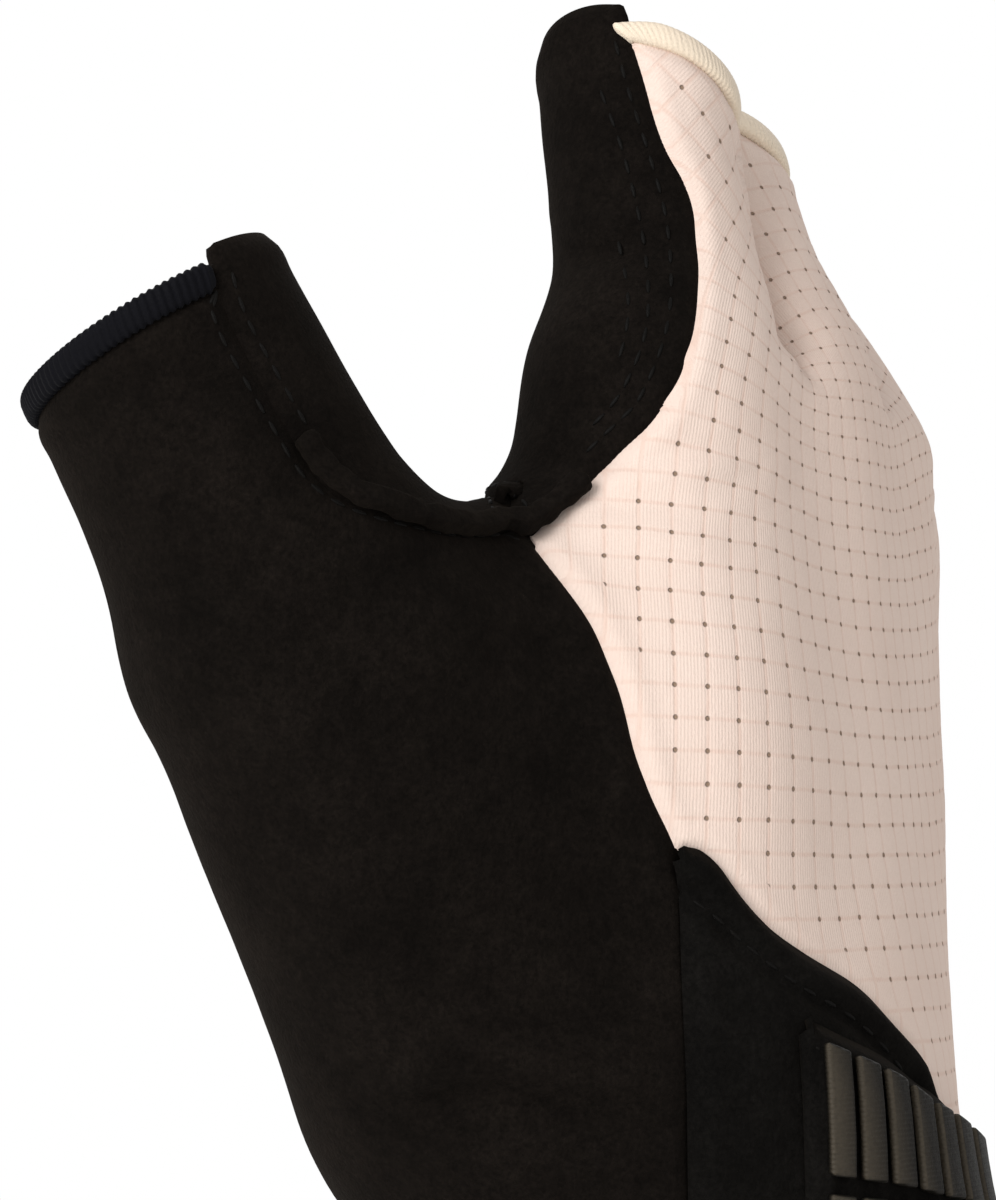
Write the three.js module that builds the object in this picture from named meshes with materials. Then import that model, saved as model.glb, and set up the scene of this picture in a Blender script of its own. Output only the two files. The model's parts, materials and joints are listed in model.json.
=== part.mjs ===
import * as THREE from "three";

// Half-finger glove for a right hand, shown in the shape it has when worn.
// Millimetres. +X runs to the back of the hand, +Y away from the thumb side, +Z to the fingertips.
// The origin is the middle of the wrist opening.

// Driving dimension: the worn length from the bottom hem to the index finger's opening
const GLOVE_LENGTH = 137;
// Lengths in the tables are shares of it, counted in 137ths
const LENGTH_SHARES = 137;
const scaled = (share) => (Array.isArray(share) ? share.map(scaled) : (share * GLOVE_LENGTH) / LENGTH_SHARES);

// Cloth and seam sizes
const SUEDE = 1.2;
const STRETCH = 1.0;
const SEAM_GAP = 0.4;
const SEAT_GAP = 0.3;
const FINGER_GAP = 1.0;
const BAND_SEAM_GAP = 0.6;
const BAND_OUT = 0.7;
const BAND_IN = -1.3;
const TAB = 1.2;
const BAR_HEIGHT = 1.1;
const BINDING_WIDTH = 3.0;
const BINDING_THICKNESS = 1.9;
const BINDING_PROUD = 0.3;
const HEM_WIDTH = 3.0;
const HEM_THICKNESS = 2.0;
const HEM_PROUD = 0.5;
const HEM_END_GAP = 0.9;
const PIPING_RADIUS = 1.05;

// Blend sizes of the hand form
const BLEND_HAND = 4.0;
const BLEND_THUMB = 2.5;
const BLEND_FINGER = 2.0;
const FINGER_EDGE = 1.3;

// Tapered limbs of the form: start x, y, z, radius, then end x, y, z, radius
const HAND = scaled([
  [-2, -2, -12, 22, -15.5, -4, 22, 21],
  [8, 3, -12, 23.5, -3, 6, 22, 22.5],
  [-7, -6, 24, 18.5, -7.5, -1, 96, 13],
  [1, 6, 24, 19, 3, 15, 95, 13],
  [6, 18, 24, 16.5, 9.5, 30, 89, 13.5],
  [5, 26, 24, 16.5, 13, 45, 80, 12],
  [-24, -8.5, 28, 19.5, -43, -24, 70, 16.1],
  [-34, -19, 71.5, 11, -12, -6, 74, 10.5],
  [-30, -14, 56, 15, -8, -6, 58, 14],
]);
const THUMB = scaled([-43.3, -24.2, 74, 15.8, -62, -31, 112, 14.2]);
const FINGERS = {
  index: scaled([-6.2, 3, 106, 10.4, -10, 13, 142, 10.2]),
  middle: scaled([1, 17, 104, 11.2, -5.5, 31, 130, 10.2]),
  ring: scaled([5.5, 35, 98, 12, -9, 46, 120, 10]),
  little: scaled([8, 48, 88, 10.5, -7, 56, 108, 9]),
};
const ORDER = ["index", "middle", "ring", "little"];

// Metacarpal lines under the four fingers: near the wrist x, y, z, at the knuckle x, y, z
const METACARPALS = {
  index: scaled([-4, -5, 20, -6.5, 0, 96]),
  middle: scaled([1, 4, 20, 2.5, 15, 95]),
  ring: scaled([3, 14, 20, 8.5, 30, 89]),
  little: scaled([3, 22, 20, 11.5, 44, 80]),
};

// Openings of the stalls: middle and the way that each faces
const RIMS = {
  index: { at: scaled([-8.7, 9.5, 129]), faces: [0.15, 0.62, 0.77] },
  middle: { at: scaled([-3.5, 27, 123]), faces: [0.1, 0.58, 0.8] },
  ring: { at: scaled([-3.2, 41.6, 111.5]), faces: [-0.25, 0.46, 0.85] },
  little: { at: scaled([-1, 52.8, 100.5]), faces: [-0.35, 0.35, 0.87] },
};
const THUMB_RIM = { at: [-57.6, -29.4, 103.4], faces: [-0.5, 0.12, 0.86] };

// Front view: eye, reach of its lines, grid steps, grid place of x = 0, z = 0 and the depth of its plane
const EYE = scaled([-22.95, -685, 74.74]);
const NEAREST = scaled(600);
const FARTHEST = scaled(800);
const GRID = 9.5;
const GRID_ZERO = [716, 1310];
const VIEW_DEPTH = 15;

// Seams as front view grid points: across, down
const SEEN = {
  thumbSeam: [[207, 262], [223, 300], [240, 340], [260, 375], [280, 410], [298, 440]],
  underWeb: [[298, 440], [312, 462], [330, 480], [355, 497], [390, 511], [430, 525], [470, 532], [500, 530],
    [526, 530]],
  frontSeam: [[526, 530], [560, 575], [590, 620], [610, 665], [625, 710], [640, 765], [655, 810], [677, 852]],
  overWeb: [[526, 530], [557, 511], [586, 486]],
  indexEdge: [[586, 486], [600, 465], [640, 432], [665, 405], [682, 375], [692, 340], [698, 290], [697, 240],
    [690, 190], [672, 155], [655, 120], [642, 75], [632, 40]],
  bandEnd: [[677, 852], [684, 940], [690, 1040], [694, 1150], [697, 1260]],
  bandTop: [[677, 852], [700, 855], [720, 870], [740, 898], [770, 932], [810, 962], [855, 990], [890, 1025],
    [920, 1065]],
  tabTop: [[800, 1030], [831, 1045], [874, 1068], [905, 1093], [930, 1110]],
};
const WEB_CREST = [509, 491];

// Lines out of the form to places that the front view doesn't show: inner point x, y, z, bearing and rise
const HIDDEN = {
  thumbBack: [[-53, -27.5, 92, 62, -8], [-47, -25, 81, 72, -6], [-40, -21, 71, 92, 0]],
  crease: [[-40, -21, 71, 92, 0], [-31, -16, 62, 100, 0], [-23, -11, 51, 115, 0], [-15, -6, 37, 138, 0],
    [-8, -2, 18, 156, 0], [-4, 0, 0, 164, 0]],
  webBack: [[-40, -21, 71, 92, 0], [-31, -16.5, 72, 112, 18], [-22, -11, 75, 120, 18], [-14, -6, 82, 128, 8]],
  littleSide: [[1, 12, 0, 64, 0], [3, 18, 20, 64, 0], [6, 27, 44, 64, 0], [10, 38, 66, 62, 0],
    [9.5, 44, 82, 60, 8]],
  bandEnd: [[-2, 0, 0, -84, 0]],
  bandTop: [[2, 2, 21, -15, 0], [2, 4, 18, 12, 0], [2, 8, 16.5, 40, 0], [2, 10, 16, 64, 0]],
  tabTop: [[2, 6, 17.5, -2, 0], [2, 6, 15.5, 16, 0], [2, 6, 14, 33, 0], [2, 6, 13, 48, 0]],
};

// Knuckle and palm lines: heights from the little finger to the thumb side, bearings, rise and turns
const HAND_UP = [-0.05, 0.15, 1];
const KNUCKLE_HEIGHTS = scaled([84, 90, 94, 95, 95]);
const KNUCKLE_DROP = scaled(4);
const KNUCKLE_BEARING = -22;
const KNUCKLE_RISE = 6;
const TURN_TO_THUMB = 55;
const TURN_TO_LITTLE = 75;
const PALM_HEIGHTS = scaled([74, 82, 86, 84, 62]);
const PALM_BEARINGS = [105, 130, 152];
const PALM_RISE = 2;
const PALM_TURN = 88;

// Which way the stalls lie: across from index to little finger and to the tips
const STALLS_ACROSS = [0.42, 0.875, -0.235];
const STALLS_TO_TIP = [-0.1, 0.25, 0.96];
// Forks between the stalls, past the knuckles and to each side of the middle
const FORK_REACH = scaled([5, 6, 6.5]);
const FORK_SIDE = 1.5;
const STALL_START = { index: scaled(6), middle: scaled(6.5), ring: scaled(9), little: scaled(11) };

// Rows and columns of cloth
const PER_FINGER = 6;
const BACK_COLUMNS = 4 * PER_FINGER;
const BACK_ROWS = 13;
const KNUCKLE_ROWS = 3;
const STALL_ROWS = { index: 7, middle: 5, ring: 4, little: 4 };
const INDEX_KNUCKLE_ROW = 3;
const INDEX_BASE_ROW = 5;
const INDEX_COLUMNS = [8, 4];
const INDEX_ROWS = 14;
const PALM_WEB = 4;
const PALM_ROWS = 11;
const THUMB_COLUMNS = 14;
const BAND_ROWS = 6;
const EDGING_SIDES = 8;
const PIPING_STEPS = 22;
// Places on the little finger side seam and the front seam's share of the back panel's thumb side
const SEAM_AT_BAND = 0.8;
const SEAM_AT_KNUCKLE = 3.3;
const LITTLE_BASE = 4;
const FRONT_SEAM_SHARE = 0.72;

// Index stall: inner points that its lowest row looks out from, and the bearing of its last front point
const INDEX_HEEL = scaled([-15, -7, 79]);
const INDEX_BASE_INNER = scaled([-5, 3, 95]);
const INDEX_RIM_BEARING = -96;

// Thumb sections: places on the front and back seams, fall of the section to the left, shift of its middle
const THUMB_ROWS = [
  [0.77, 0.27, 0.58, 7],
  [2, 0.7, 0.55, 7],
  [4, 1.5, 0.52, 7],
  [6, 2.2, 0.5, 7],
  [9, 2.7, 0.5, 8],
  [11, 3, 0.55, 9],
  [13, 3.4, 0.6, 10],
  [15, 4.1, 0.6, 9],
  [17, 5, 0.5, 8],
  [20, 6, 0.35, 6],
  [22.5, 7.1, 0.18, 5],
  [25, 8, 0, 4],
];
const THUMB_RIM_BEARINGS = { front: -57, back: 60 };

// Inner side of the thumb and the web: places on the seams, inner point and the way to the crest
const GUSSET_ROWS = [
  [0, 0, ...THUMB_RIM.at, 0.86, 0, 0.5],
  [2, 0.7, -54, -28, 95, 0.87, 0.1, 0.45],
  [4, 1.6, -48, -26, 86, 0.85, 0.1, 0.5],
  [5.6, 2.4, -42, -23, 79, 0.7, 0.2, 0.7],
  [7.5, 3.2, -36, -19.5, 74, 0.35, 0.1, 0.93],
  [9.5, 4.1, -29, -16, 72, 0.1, 0.05, 1],
  [11, 5, -24, -13, 73, -0.1, 0, 1],
  [13, 6, -20, -10, 76, -0.5, 0, 0.86],
];

// Wrist band hem: middle of its bearings, and the least bearing of each column
const BAND_MIDDLE = [1, 6];
const BAND_FIRST_BEARING = -84;
const BAND_BEARING_STEP = 1.6;

// Closure tab and its raised bars
const TAB_PLACE = 1.5;
const TAB_INNER = [2, 4];
const TAB_LEAN = 0.8;
const TAB_BOTTOM_HEIGHT = 1.4;
const TAB_COLUMNS = 16;
const TAB_ROWS = 4;
const BAR_WIDTH = 3.3;
const BAR_PITCH = 4.35;
const BAR_MARGIN = 0.6;
const BAR_COLUMNS = 7;
const BAR_STRETCH = 1.06;
// Each row of bars as shares of the tab's height: low and high end
const BAR_ROWS = [[0.535, 0.955], [0.05, 0.475]];

const add = (a, b) => [a[0] + b[0], a[1] + b[1], a[2] + b[2]];
const sub = (a, b) => [a[0] - b[0], a[1] - b[1], a[2] - b[2]];
const times = (a, s) => [a[0] * s, a[1] * s, a[2] * s];
const dot = (a, b) => a[0] * b[0] + a[1] * b[1] + a[2] * b[2];
const cross = (a, b) => [a[1] * b[2] - a[2] * b[1], a[2] * b[0] - a[0] * b[2], a[0] * b[1] - a[1] * b[0]];
const unit = (a) => times(a, 1 / Math.hypot(...a));
const mix = (a, b, t) => a.map((v, i) => v + (b[i] - v) * t);
const DEG = Math.PI / 180;

// Distance to a limb with round ends and a straight taper
function limb(p, [ax, ay, az, ra, bx, by, bz, rb]) {
  const ba = [bx - ax, by - ay, bz - az];
  const l2 = dot(ba, ba);
  const rr = ra - rb;
  const a2 = l2 - rr * rr;
  const pa = [p[0] - ax, p[1] - ay, p[2] - az];
  const y = dot(pa, ba);
  const z = y - l2;
  const q = sub(times(pa, l2), times(ba, y));
  const x2 = dot(q, q);
  const y2 = y * y * l2;
  const z2 = z * z * l2;
  const k = Math.sign(rr) * rr * rr * x2;
  if (Math.sign(z) * a2 * z2 > k) return Math.sqrt(x2 + z2) / l2 - rb;
  if (Math.sign(y) * a2 * y2 < k) return Math.sqrt(x2 + y2) / l2 - ra;
  return (Math.sqrt((x2 * a2) / l2) + y * rr) / l2 - ra;
}

// Rounded union of distances, and rounded cut of one by others
function blend(distances, size) {
  const least = Math.min(...distances);
  let sum = 0;
  for (const d of distances) sum += Math.exp((least - d) / size);
  return least - size * Math.log(sum);
}
const cut = (distances, size) => -blend(distances.map((d) => -d), size);

const palmForm = (p) => blend(HAND.map((row) => limb(p, row)), BLEND_HAND);
const handForm = (p) => blend([palmForm(p), limb(p, THUMB)], BLEND_THUMB);

// Each stall keeps to its own side of the planes halfway to its neighbours
const MIDPLANES = [0, 1, 2].map((i) => {
  const [one, two] = [FINGERS[ORDER[i]], FINGERS[ORDER[i + 1]]];
  const low = times(add(one.slice(0, 3), two.slice(0, 3)), 0.5);
  const high = times(add(one.slice(4, 7), two.slice(4, 7)), 0.5);
  const across = sub(two.slice(0, 3), one.slice(0, 3));
  const along = unit(sub(high, low));
  return { at: low, normal: unit(sub(across, times(along, dot(across, along)))) };
});
const stallForm = {};
ORDER.forEach((name, i) => {
  stallForm[name] = (p) => {
    const base = name === "index" ? handForm(p) : palmForm(p);
    const sides = [blend([base, limb(p, FINGERS[name])], BLEND_FINGER)];
    if (i < 3) sides.push(dot(sub(p, MIDPLANES[i].at), MIDPLANES[i].normal) + FINGER_GAP / 2);
    if (i > 0) sides.push(FINGER_GAP / 2 - dot(sub(p, MIDPLANES[i - 1].at), MIDPLANES[i - 1].normal));
    return cut(sides, FINGER_EDGE);
  };
});

// Slope of a form, which points out of it
const SLOPE_STEP = 0.05;
function outward(p, form) {
  return [0, 1, 2].map((i) => {
    const [more, less] = [[...p], [...p]];
    more[i] += SLOPE_STEP;
    less[i] -= SLOPE_STEP;
    return (form(more) - form(less)) / (2 * SLOPE_STEP);
  });
}

// Nearest surface point by repeated steps along the slope
function settle(p, form) {
  let q = p;
  for (let i = 0; i < 6; i += 1) {
    const slope = outward(q, form);
    q = sub(q, times(slope, form(q) / dot(slope, slope)));
  }
  return q;
}

// Where a line from inside the form comes out of it
const LONGEST_LINE = scaled(140);
const HALVINGS = 26;
function cast(origin, direction, form) {
  const d = unit(direction);
  let near = 0;
  let far = 0;
  let value = form(origin);
  if (value > 0) throw new Error(`a line starts outside the form at ${origin.map((v) => v.toFixed(1))}`);
  while (value < 0) {
    near = far;
    far += Math.min(5, Math.max(0.4, -0.6 * value));
    if (far > LONGEST_LINE) throw new Error(`a line from ${origin.map((v) => v.toFixed(1))} stays inside`);
    value = form(add(origin, times(d, far)));
  }
  for (let i = 0; i < HALVINGS; i += 1) {
    const half = (near + far) / 2;
    if (form(add(origin, times(d, half))) < 0) near = half;
    else far = half;
  }
  return add(origin, times(d, near));
}

// The surface point seen at a place of the front view grid
function seen([across, down], form) {
  const target = scaled([(across - GRID_ZERO[0]) / GRID, VIEW_DEPTH, (GRID_ZERO[1] - down) / GRID]);
  const d = unit(sub(target, EYE));
  let best = [Infinity, null];
  let reach = NEAREST;
  while (reach < FARTHEST) {
    const p = add(EYE, times(d, reach));
    const value = form(p);
    if (value < best[0]) best = [value, p];
    if (value < 0.002) break;
    reach += Math.max(0.02, value * 0.9);
  }
  return settle(best[1], form);
}

// A curve through points, counted in points; a doubled point is a sharp corner
function along(points, at) {
  const i = Math.min(points.length - 2, Math.max(0, Math.floor(at)));
  const t = at - i;
  const [b, c] = [points[i], points[i + 1]];
  const a = points[i - 1] ?? b.map((v, k) => 2 * v - c[k]);
  const d = points[i + 2] ?? c.map((v, k) => 2 * v - b[k]);
  return b.map((v, k) => v + 0.5 * t * (c[k] - a[k]
    + t * (2 * a[k] - 5 * v + 4 * c[k] - d[k] + t * (3 * (v - c[k]) + d[k] - a[k]))));
}

// A direction from its bearing and rise in a section, and back; bearing 0 is +X and 90 is +Y when it faces up
const UP = [0, 0, 1];
function bearingLine(facing, bearing, rise = 0) {
  const n = unit(facing);
  const side = unit(sub([1, 0, 0], times(n, n[0])));
  const back = cross(n, side);
  const flat = add(times(side, Math.cos(bearing * DEG)), times(back, Math.sin(bearing * DEG)));
  return add(times(flat, Math.cos(rise * DEG)), times(n, Math.sin(rise * DEG)));
}
function bearingOf(facing, v) {
  const n = unit(facing);
  const side = unit(sub([1, 0, 0], times(n, n[0])));
  const back = cross(n, side);
  const d = unit(v);
  return [Math.atan2(dot(d, back), dot(d, side)) / DEG, Math.asin(dot(d, n)) / DEG];
}

// A row of surface points round a section: stops give an inner point and the surface point it looks at.
// Steps count the parts between stops; the bearing falls or rises as turn says.
function row(facing, stops, steps, turn, form) {
  const looks = stops.map(({ o, p }) => bearingOf(facing, sub(p, o)));
  for (let i = 1; i < looks.length; i += 1) {
    while (turn * (looks[i][0] - looks[i - 1][0]) < -60) looks[i][0] += turn * 360;
    while (turn * (looks[i][0] - looks[i - 1][0]) > 300) looks[i][0] -= turn * 360;
  }
  const points = [];
  steps.forEach((count, i) => {
    for (let k = i === 0 ? 0 : 1; k <= count; k += 1) {
      const t = k / count;
      const o = mix(stops[i].o, stops[i + 1].o, t);
      const [bearing, rise] = mix(looks[i], looks[i + 1], t);
      points.push(cast(o, bearingLine(facing, bearing, rise), form));
    }
  });
  return points;
}

// Quads between rows of points, each with the form its outward direction comes from
function quads(rows, form) {
  const out = [];
  for (let r = 0; r + 1 < rows.length; r += 1) {
    for (let c = 0; c + 1 < rows[r].length; c += 1) {
      out.push({ form, corners: [rows[r][c], rows[r][c + 1], rows[r + 1][c + 1], rows[r + 1][c]] });
    }
  }
  return out;
}

// A closed sheet from quads on the form, from one height above it to another
function sheet(name, faces, outer, inner, material, flatHem = true) {
  const index = new Map();
  const places = [];
  const indexOf = (p, form) => {
    const key = p.map((v) => v.toFixed(3)).join();
    if (!index.has(key)) {
      index.set(key, places.length / 2);
      let n = unit(outward(p, form));
      if (flatHem && Math.abs(p[2]) < 1e-3) n = unit([n[0], n[1], 0]);
      places.push(add(p, times(n, outer)), add(p, times(n, inner)));
    }
    return index.get(key);
  };
  const triangles = [];
  const edges = new Map();
  const facing = faces.reduce((sum, { corners: [a, b, c, d], form }) =>
    sum + dot(cross(sub(c, a), sub(d, b)), outward(a, form)), 0);
  for (const { corners, form } of faces) {
    let ids = corners.map((p) => indexOf(p, form));
    if (facing < 0) ids = ids.reverse();
    ids = ids.filter((id, i) => id !== ids[(i + 1) % ids.length]);
    if (ids.length < 3) continue;
    const split = ids.length === 3 ? [ids] : bend(ids, places);
    for (const [i, j, k] of split) {
      triangles.push([2 * i, 2 * j, 2 * k], [2 * k + 1, 2 * j + 1, 2 * i + 1]);
    }
    ids.forEach((id, i) => {
      const next = ids[(i + 1) % ids.length];
      if (edges.has(`${next},${id}`)) edges.delete(`${next},${id}`);
      else edges.set(`${id},${next}`, [id, next]);
    });
  }
  for (const [i, j] of edges.values()) {
    triangles.push([2 * i, 2 * i + 1, 2 * j + 1], [2 * i, 2 * j + 1, 2 * j]);
  }
  return solid(name, places, triangles, material);
}

// Splits a four-sided face along its shorter diagonal
function bend([a, b, c, d], places) {
  const length = (i, j) => Math.hypot(...sub(places[2 * i], places[2 * j]));
  return length(a, c) <= length(b, d) ? [[a, b, c], [a, c, d]] : [[a, b, d], [b, c, d]];
}

function solid(name, places, triangles, material) {
  const geometry = new THREE.BufferGeometry();
  geometry.setAttribute("position", new THREE.Float32BufferAttribute(places.flat(), 3));
  geometry.setIndex(triangles.flat());
  geometry.computeVertexNormals();
  const mesh = new THREE.Mesh(geometry, material());
  mesh.name = name;
  return mesh;
}

// A closed rounded bar swept along a line of stations: middle, then the two half-axes of its section
function sweep(name, stations, sides, material) {
  const places = [];
  stations.forEach(({ at, u, v }) => {
    for (let k = 0; k < sides; k += 1) {
      const a = (2 * Math.PI * (k + 0.5)) / sides;
      const round = (x) => Math.sign(x) * Math.abs(x) ** 0.6;
      places.push(add(at, add(times(u, round(Math.cos(a))), times(v, round(Math.sin(a))))));
    }
  });
  const triangles = [];
  const last = stations.length - 1;
  for (let s = 0; s < last; s += 1) {
    for (let k = 0; k < sides; k += 1) {
      const [a, b] = [s * sides + k, s * sides + ((k + 1) % sides)];
      triangles.push([a, b, b + sides], [a, b + sides, a + sides]);
    }
  }
  for (let k = 1; k + 1 < sides; k += 1) {
    triangles.push([0, k + 1, k]);
    triangles.push([last * sides, last * sides + k, last * sides + k + 1]);
  }
  const along0 = sub(stations[1].at, stations[0].at);
  if (dot(cross(stations[0].u, stations[0].v), along0) < 0) triangles.forEach((t) => t.reverse());
  return solid(name, places, triangles, material);
}

const suede = () => new THREE.MeshStandardMaterial({ color: 0x17130f, roughness: 0.95, name: "suede" });
const stretch = () => new THREE.MeshStandardMaterial({ color: 0xdcc9bd, roughness: 0.9, name: "stretch" });
const elastic = () => new THREE.MeshStandardMaterial({ color: 0xf2e6d0, roughness: 0.8, name: "elastic" });
const ribbing = () => new THREE.MeshStandardMaterial({ color: 0x14141a, roughness: 0.85, name: "ribbing" });
const padding = () => new THREE.MeshStandardMaterial({ color: 0x141312, roughness: 0.9, name: "padding" });
const grip = () => new THREE.MeshStandardMaterial({ color: 0x4a463c, roughness: 0.6, name: "grip" });

const glove = new THREE.Group();
glove.name = "glove";

const points = (name, form) => SEEN[name].map((place) => seen(place, form));
const thumbSeam = points("thumbSeam", handForm);
const underWeb = points("underWeb", handForm);
const frontSeam = points("frontSeam", handForm);
const overWeb = points("overWeb", handForm);
const level = (x, y, z, bearing, rise) => cast(scaled([x, y, z]), bearingLine(UP, bearing, rise), handForm);
const hidden = {};
for (const [name, rows] of Object.entries(HIDDEN)) hidden[name] = rows.map((line) => level(...line));
const bandEnd = [...points("bandEnd", handForm), ...hidden.bandEnd];
const bandTop = [...points("bandTop", handForm), ...hidden.bandTop];
const tabTop = [...points("tabTop", handForm), ...hidden.tabTop];

// Lines inside the form that rows look out from, little finger side first
const INNER = [
  [METACARPALS.little.slice(0, 3), METACARPALS.little.slice(3)],
  [METACARPALS.ring.slice(0, 3), METACARPALS.ring.slice(3)],
  [METACARPALS.middle.slice(0, 3), METACARPALS.middle.slice(3)],
  [METACARPALS.index.slice(0, 3), METACARPALS.index.slice(3)],
  [scaled([-12, -6, 20]), scaled([-32, -17, 68])],
];
const TOP_INNER = scaled(97);

// The inner point at a height, a share of the way across the lines from the little finger side
function inner(place, height) {
  const z = Math.min(height, TOP_INNER);
  const heights = INNER.map(([low, high]) => mix(low, high, (z - low[2]) / (high[2] - low[2])));
  const i = Math.min(heights.length - 2, Math.floor(place));
  const [x, y] = mix(heights[i], heights[i + 1], place - i);
  return [x, y, z];
}

// Surface rows between a low and a high row, kept to a line at each side
function patch(low, high, side, farSide, placeAt, steps, form) {
  const last = low.length - 1;
  const rows = [low];
  for (let r = 1; r < steps; r += 1) {
    const t = r / steps;
    const nearShift = sub(side(t), mix(low[0], high[0], t));
    const farShift = sub(farSide(t), mix(low[last], high[last], t));
    rows.push(low.map((_, c) => {
      const s = c / last;
      const p = add(add(mix(low[c], high[c], t), times(nearShift, (1 - s) ** 2)), times(farShift, s));
      if (c === 0 || c === last) return settle(c === 0 ? side(t) : farSide(t), form);
      const o = inner(placeAt(c, t), p[2]);
      return cast(o, sub(p, o), form);
    }));
  }
  rows.push(high);
  return rows;
}

// Draws the outer rows and columns in, square to the edge
function drawn(line, next, distance) {
  return line.map((p, i) => {
    const way = unit(sub(line[Math.min(line.length - 1, i + 1)], line[Math.max(0, i - 1)]));
    const inward = sub(next[i], p);
    const moved = add(p, times(unit(sub(inward, times(way, 0.9 * dot(inward, way)))), distance));
    return Math.abs(p[2]) < 1e-6 ? [moved[0], moved[1], 0] : moved;
  });
}
function inset(rows, { first, last, bottom, top }, distance = SEAM_GAP / 2) {
  const out = rows.map((line) => [...line]);
  const column = (c) => out.map((line) => line.at(c));
  if (bottom) out[0] = drawn(out[0], out[1], distance);
  if (top) out[out.length - 1] = drawn(out.at(-1), out.at(-2), distance);
  if (first) drawn(column(0), column(1), distance).forEach((p, r) => { out[r][0] = p; });
  if (last) drawn(column(-1), column(-2), distance).forEach((p, r) => { out[r][out[r].length - 1] = p; });
  return out;
}

const sample = (curve, from, to, count) =>
  Array.from({ length: count + 1 }, (_, i) => along(curve, from + ((to - from) * i) / count));

// Forks between the stalls, a little to the back or palm side of the middle
const ACROSS = unit(STALLS_ACROSS);
const TO_TIP = unit(STALLS_TO_TIP);
const TO_BACK = unit(cross(ACROSS, TO_TIP));
const fork = (i, side) => {
  const [one, two] = [METACARPALS[ORDER[i]], METACARPALS[ORDER[i + 1]]];
  const middle = times(add(one.slice(3), two.slice(3)), 0.5);
  return add(add(middle, times(TO_BACK, side * FORK_SIDE)), times(TO_TIP, FORK_REACH[i]));
};
const backForks = [0, 1, 2].map((i) => fork(i, 1));
const palmForks = [0, 1, 2].map((i) => fork(i, -1));

// Section of a stall, a share of the way from its base to its opening: middle and facing
function stall(name, t) {
  const start = add(METACARPALS[name].slice(3), times(TO_TIP, STALL_START[name]));
  return { o: mix(start, RIMS[name].at, t), facing: unit(mix(TO_TIP, RIMS[name].faces, t)) };
}
const STALL_SEAM = SEAM_GAP / 2 + 0.1;
function seamPoint(name, t, across, side) {
  const { o, facing } = stall(name, t);
  const flat = unit(sub(times(ACROSS, across), times(facing, dot(times(ACROSS, across), facing))));
  const shift = times(unit(cross(times(flat, across), facing)), side * STALL_SEAM);
  return cast(add(o, shift), flat, stallForm[name]);
}

// Rows of a half stall from its base row to its rim; the side lines may be given
function halfStall(name, side, base, steps, columns, lines = {}) {
  const rows = [base];
  const shortfall = side > 0 ? BINDING_WIDTH + SEAT_GAP : 0;
  const { o: rim } = stall(name, 1);
  const { o: start } = stall(name, 0);
  const reach = 1 - shortfall / Math.hypot(...sub(rim, start));
  for (let r = 1; r <= steps; r += 1) {
    const t = (r / steps) * reach;
    const { o, facing } = stall(name, t);
    const from = lines.from ? lines.from(r / steps) : seamPoint(name, t, -1, side);
    const to = lines.to ? lines.to(r / steps) : seamPoint(name, t, 1, side);
    rows.push(row(facing, [{ o, p: from }, { o, p: to }], [columns], side, stallForm[name]));
  }
  return rows;
}

// Back of the hand
const backEdge = [...frontSeam.slice().reverse(), frontSeam[0], ...overWeb.slice(1)];
const indexEdge = points("indexEdge", stallForm.index);
const bandLine = sample(bandTop, 0, bandTop.length - 1, BACK_COLUMNS);
const placeOnBack = (c) => 3 - Math.min(3, Math.max(0, (c - PER_FINGER / 2) / PER_FINGER));
const between = (values, place) => {
  const i = Math.min(values.length - 2, Math.floor(place));
  return values[i] + (values[i + 1] - values[i]) * (place - i);
};
// How far past half a finger from the end a column lies, from 0 to 1
const pastEnd = (c, last) => Math.max(0, (c - (last - PER_FINGER / 2)) / (PER_FINGER / 2));
const knuckleLine = Array.from({ length: BACK_COLUMNS + 1 }, (_, c) => {
  const place = placeOnBack(c);
  const o = inner(place, between(KNUCKLE_HEIGHTS, place) - KNUCKLE_DROP);
  const toLittle = pastEnd(c, BACK_COLUMNS) * TURN_TO_LITTLE;
  const toThumb = pastEnd(BACK_COLUMNS - c, BACK_COLUMNS) * TURN_TO_THUMB;
  return cast(o, bearingLine(HAND_UP, KNUCKLE_BEARING + toLittle - toThumb, KNUCKLE_RISE), handForm);
});
knuckleLine[0] = along(indexEdge, INDEX_KNUCKLE_ROW);
knuckleLine[BACK_COLUMNS] = along(hidden.littleSide, SEAM_AT_KNUCKLE);
const overIndex = [...overWeb, ...indexEdge.slice(1, INDEX_KNUCKLE_ROW + 1)];
const leftOfBack = (t) => (t < FRONT_SEAM_SHARE
  ? along(backEdge.slice(0, frontSeam.length), (t / FRONT_SEAM_SHARE) * (frontSeam.length - 1))
  : along(overIndex, ((t - FRONT_SEAM_SHARE) / (1 - FRONT_SEAM_SHARE)) * (overIndex.length - 1)));
const rightOfBack = (t) => along(hidden.littleSide, SEAM_AT_BAND + (SEAM_AT_KNUCKLE - SEAM_AT_BAND) * t);
bandLine[BACK_COLUMNS] = rightOfBack(0);
const backHand = patch(bandLine, knuckleLine, leftOfBack, rightOfBack, placeOnBack, BACK_ROWS, handForm);

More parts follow.
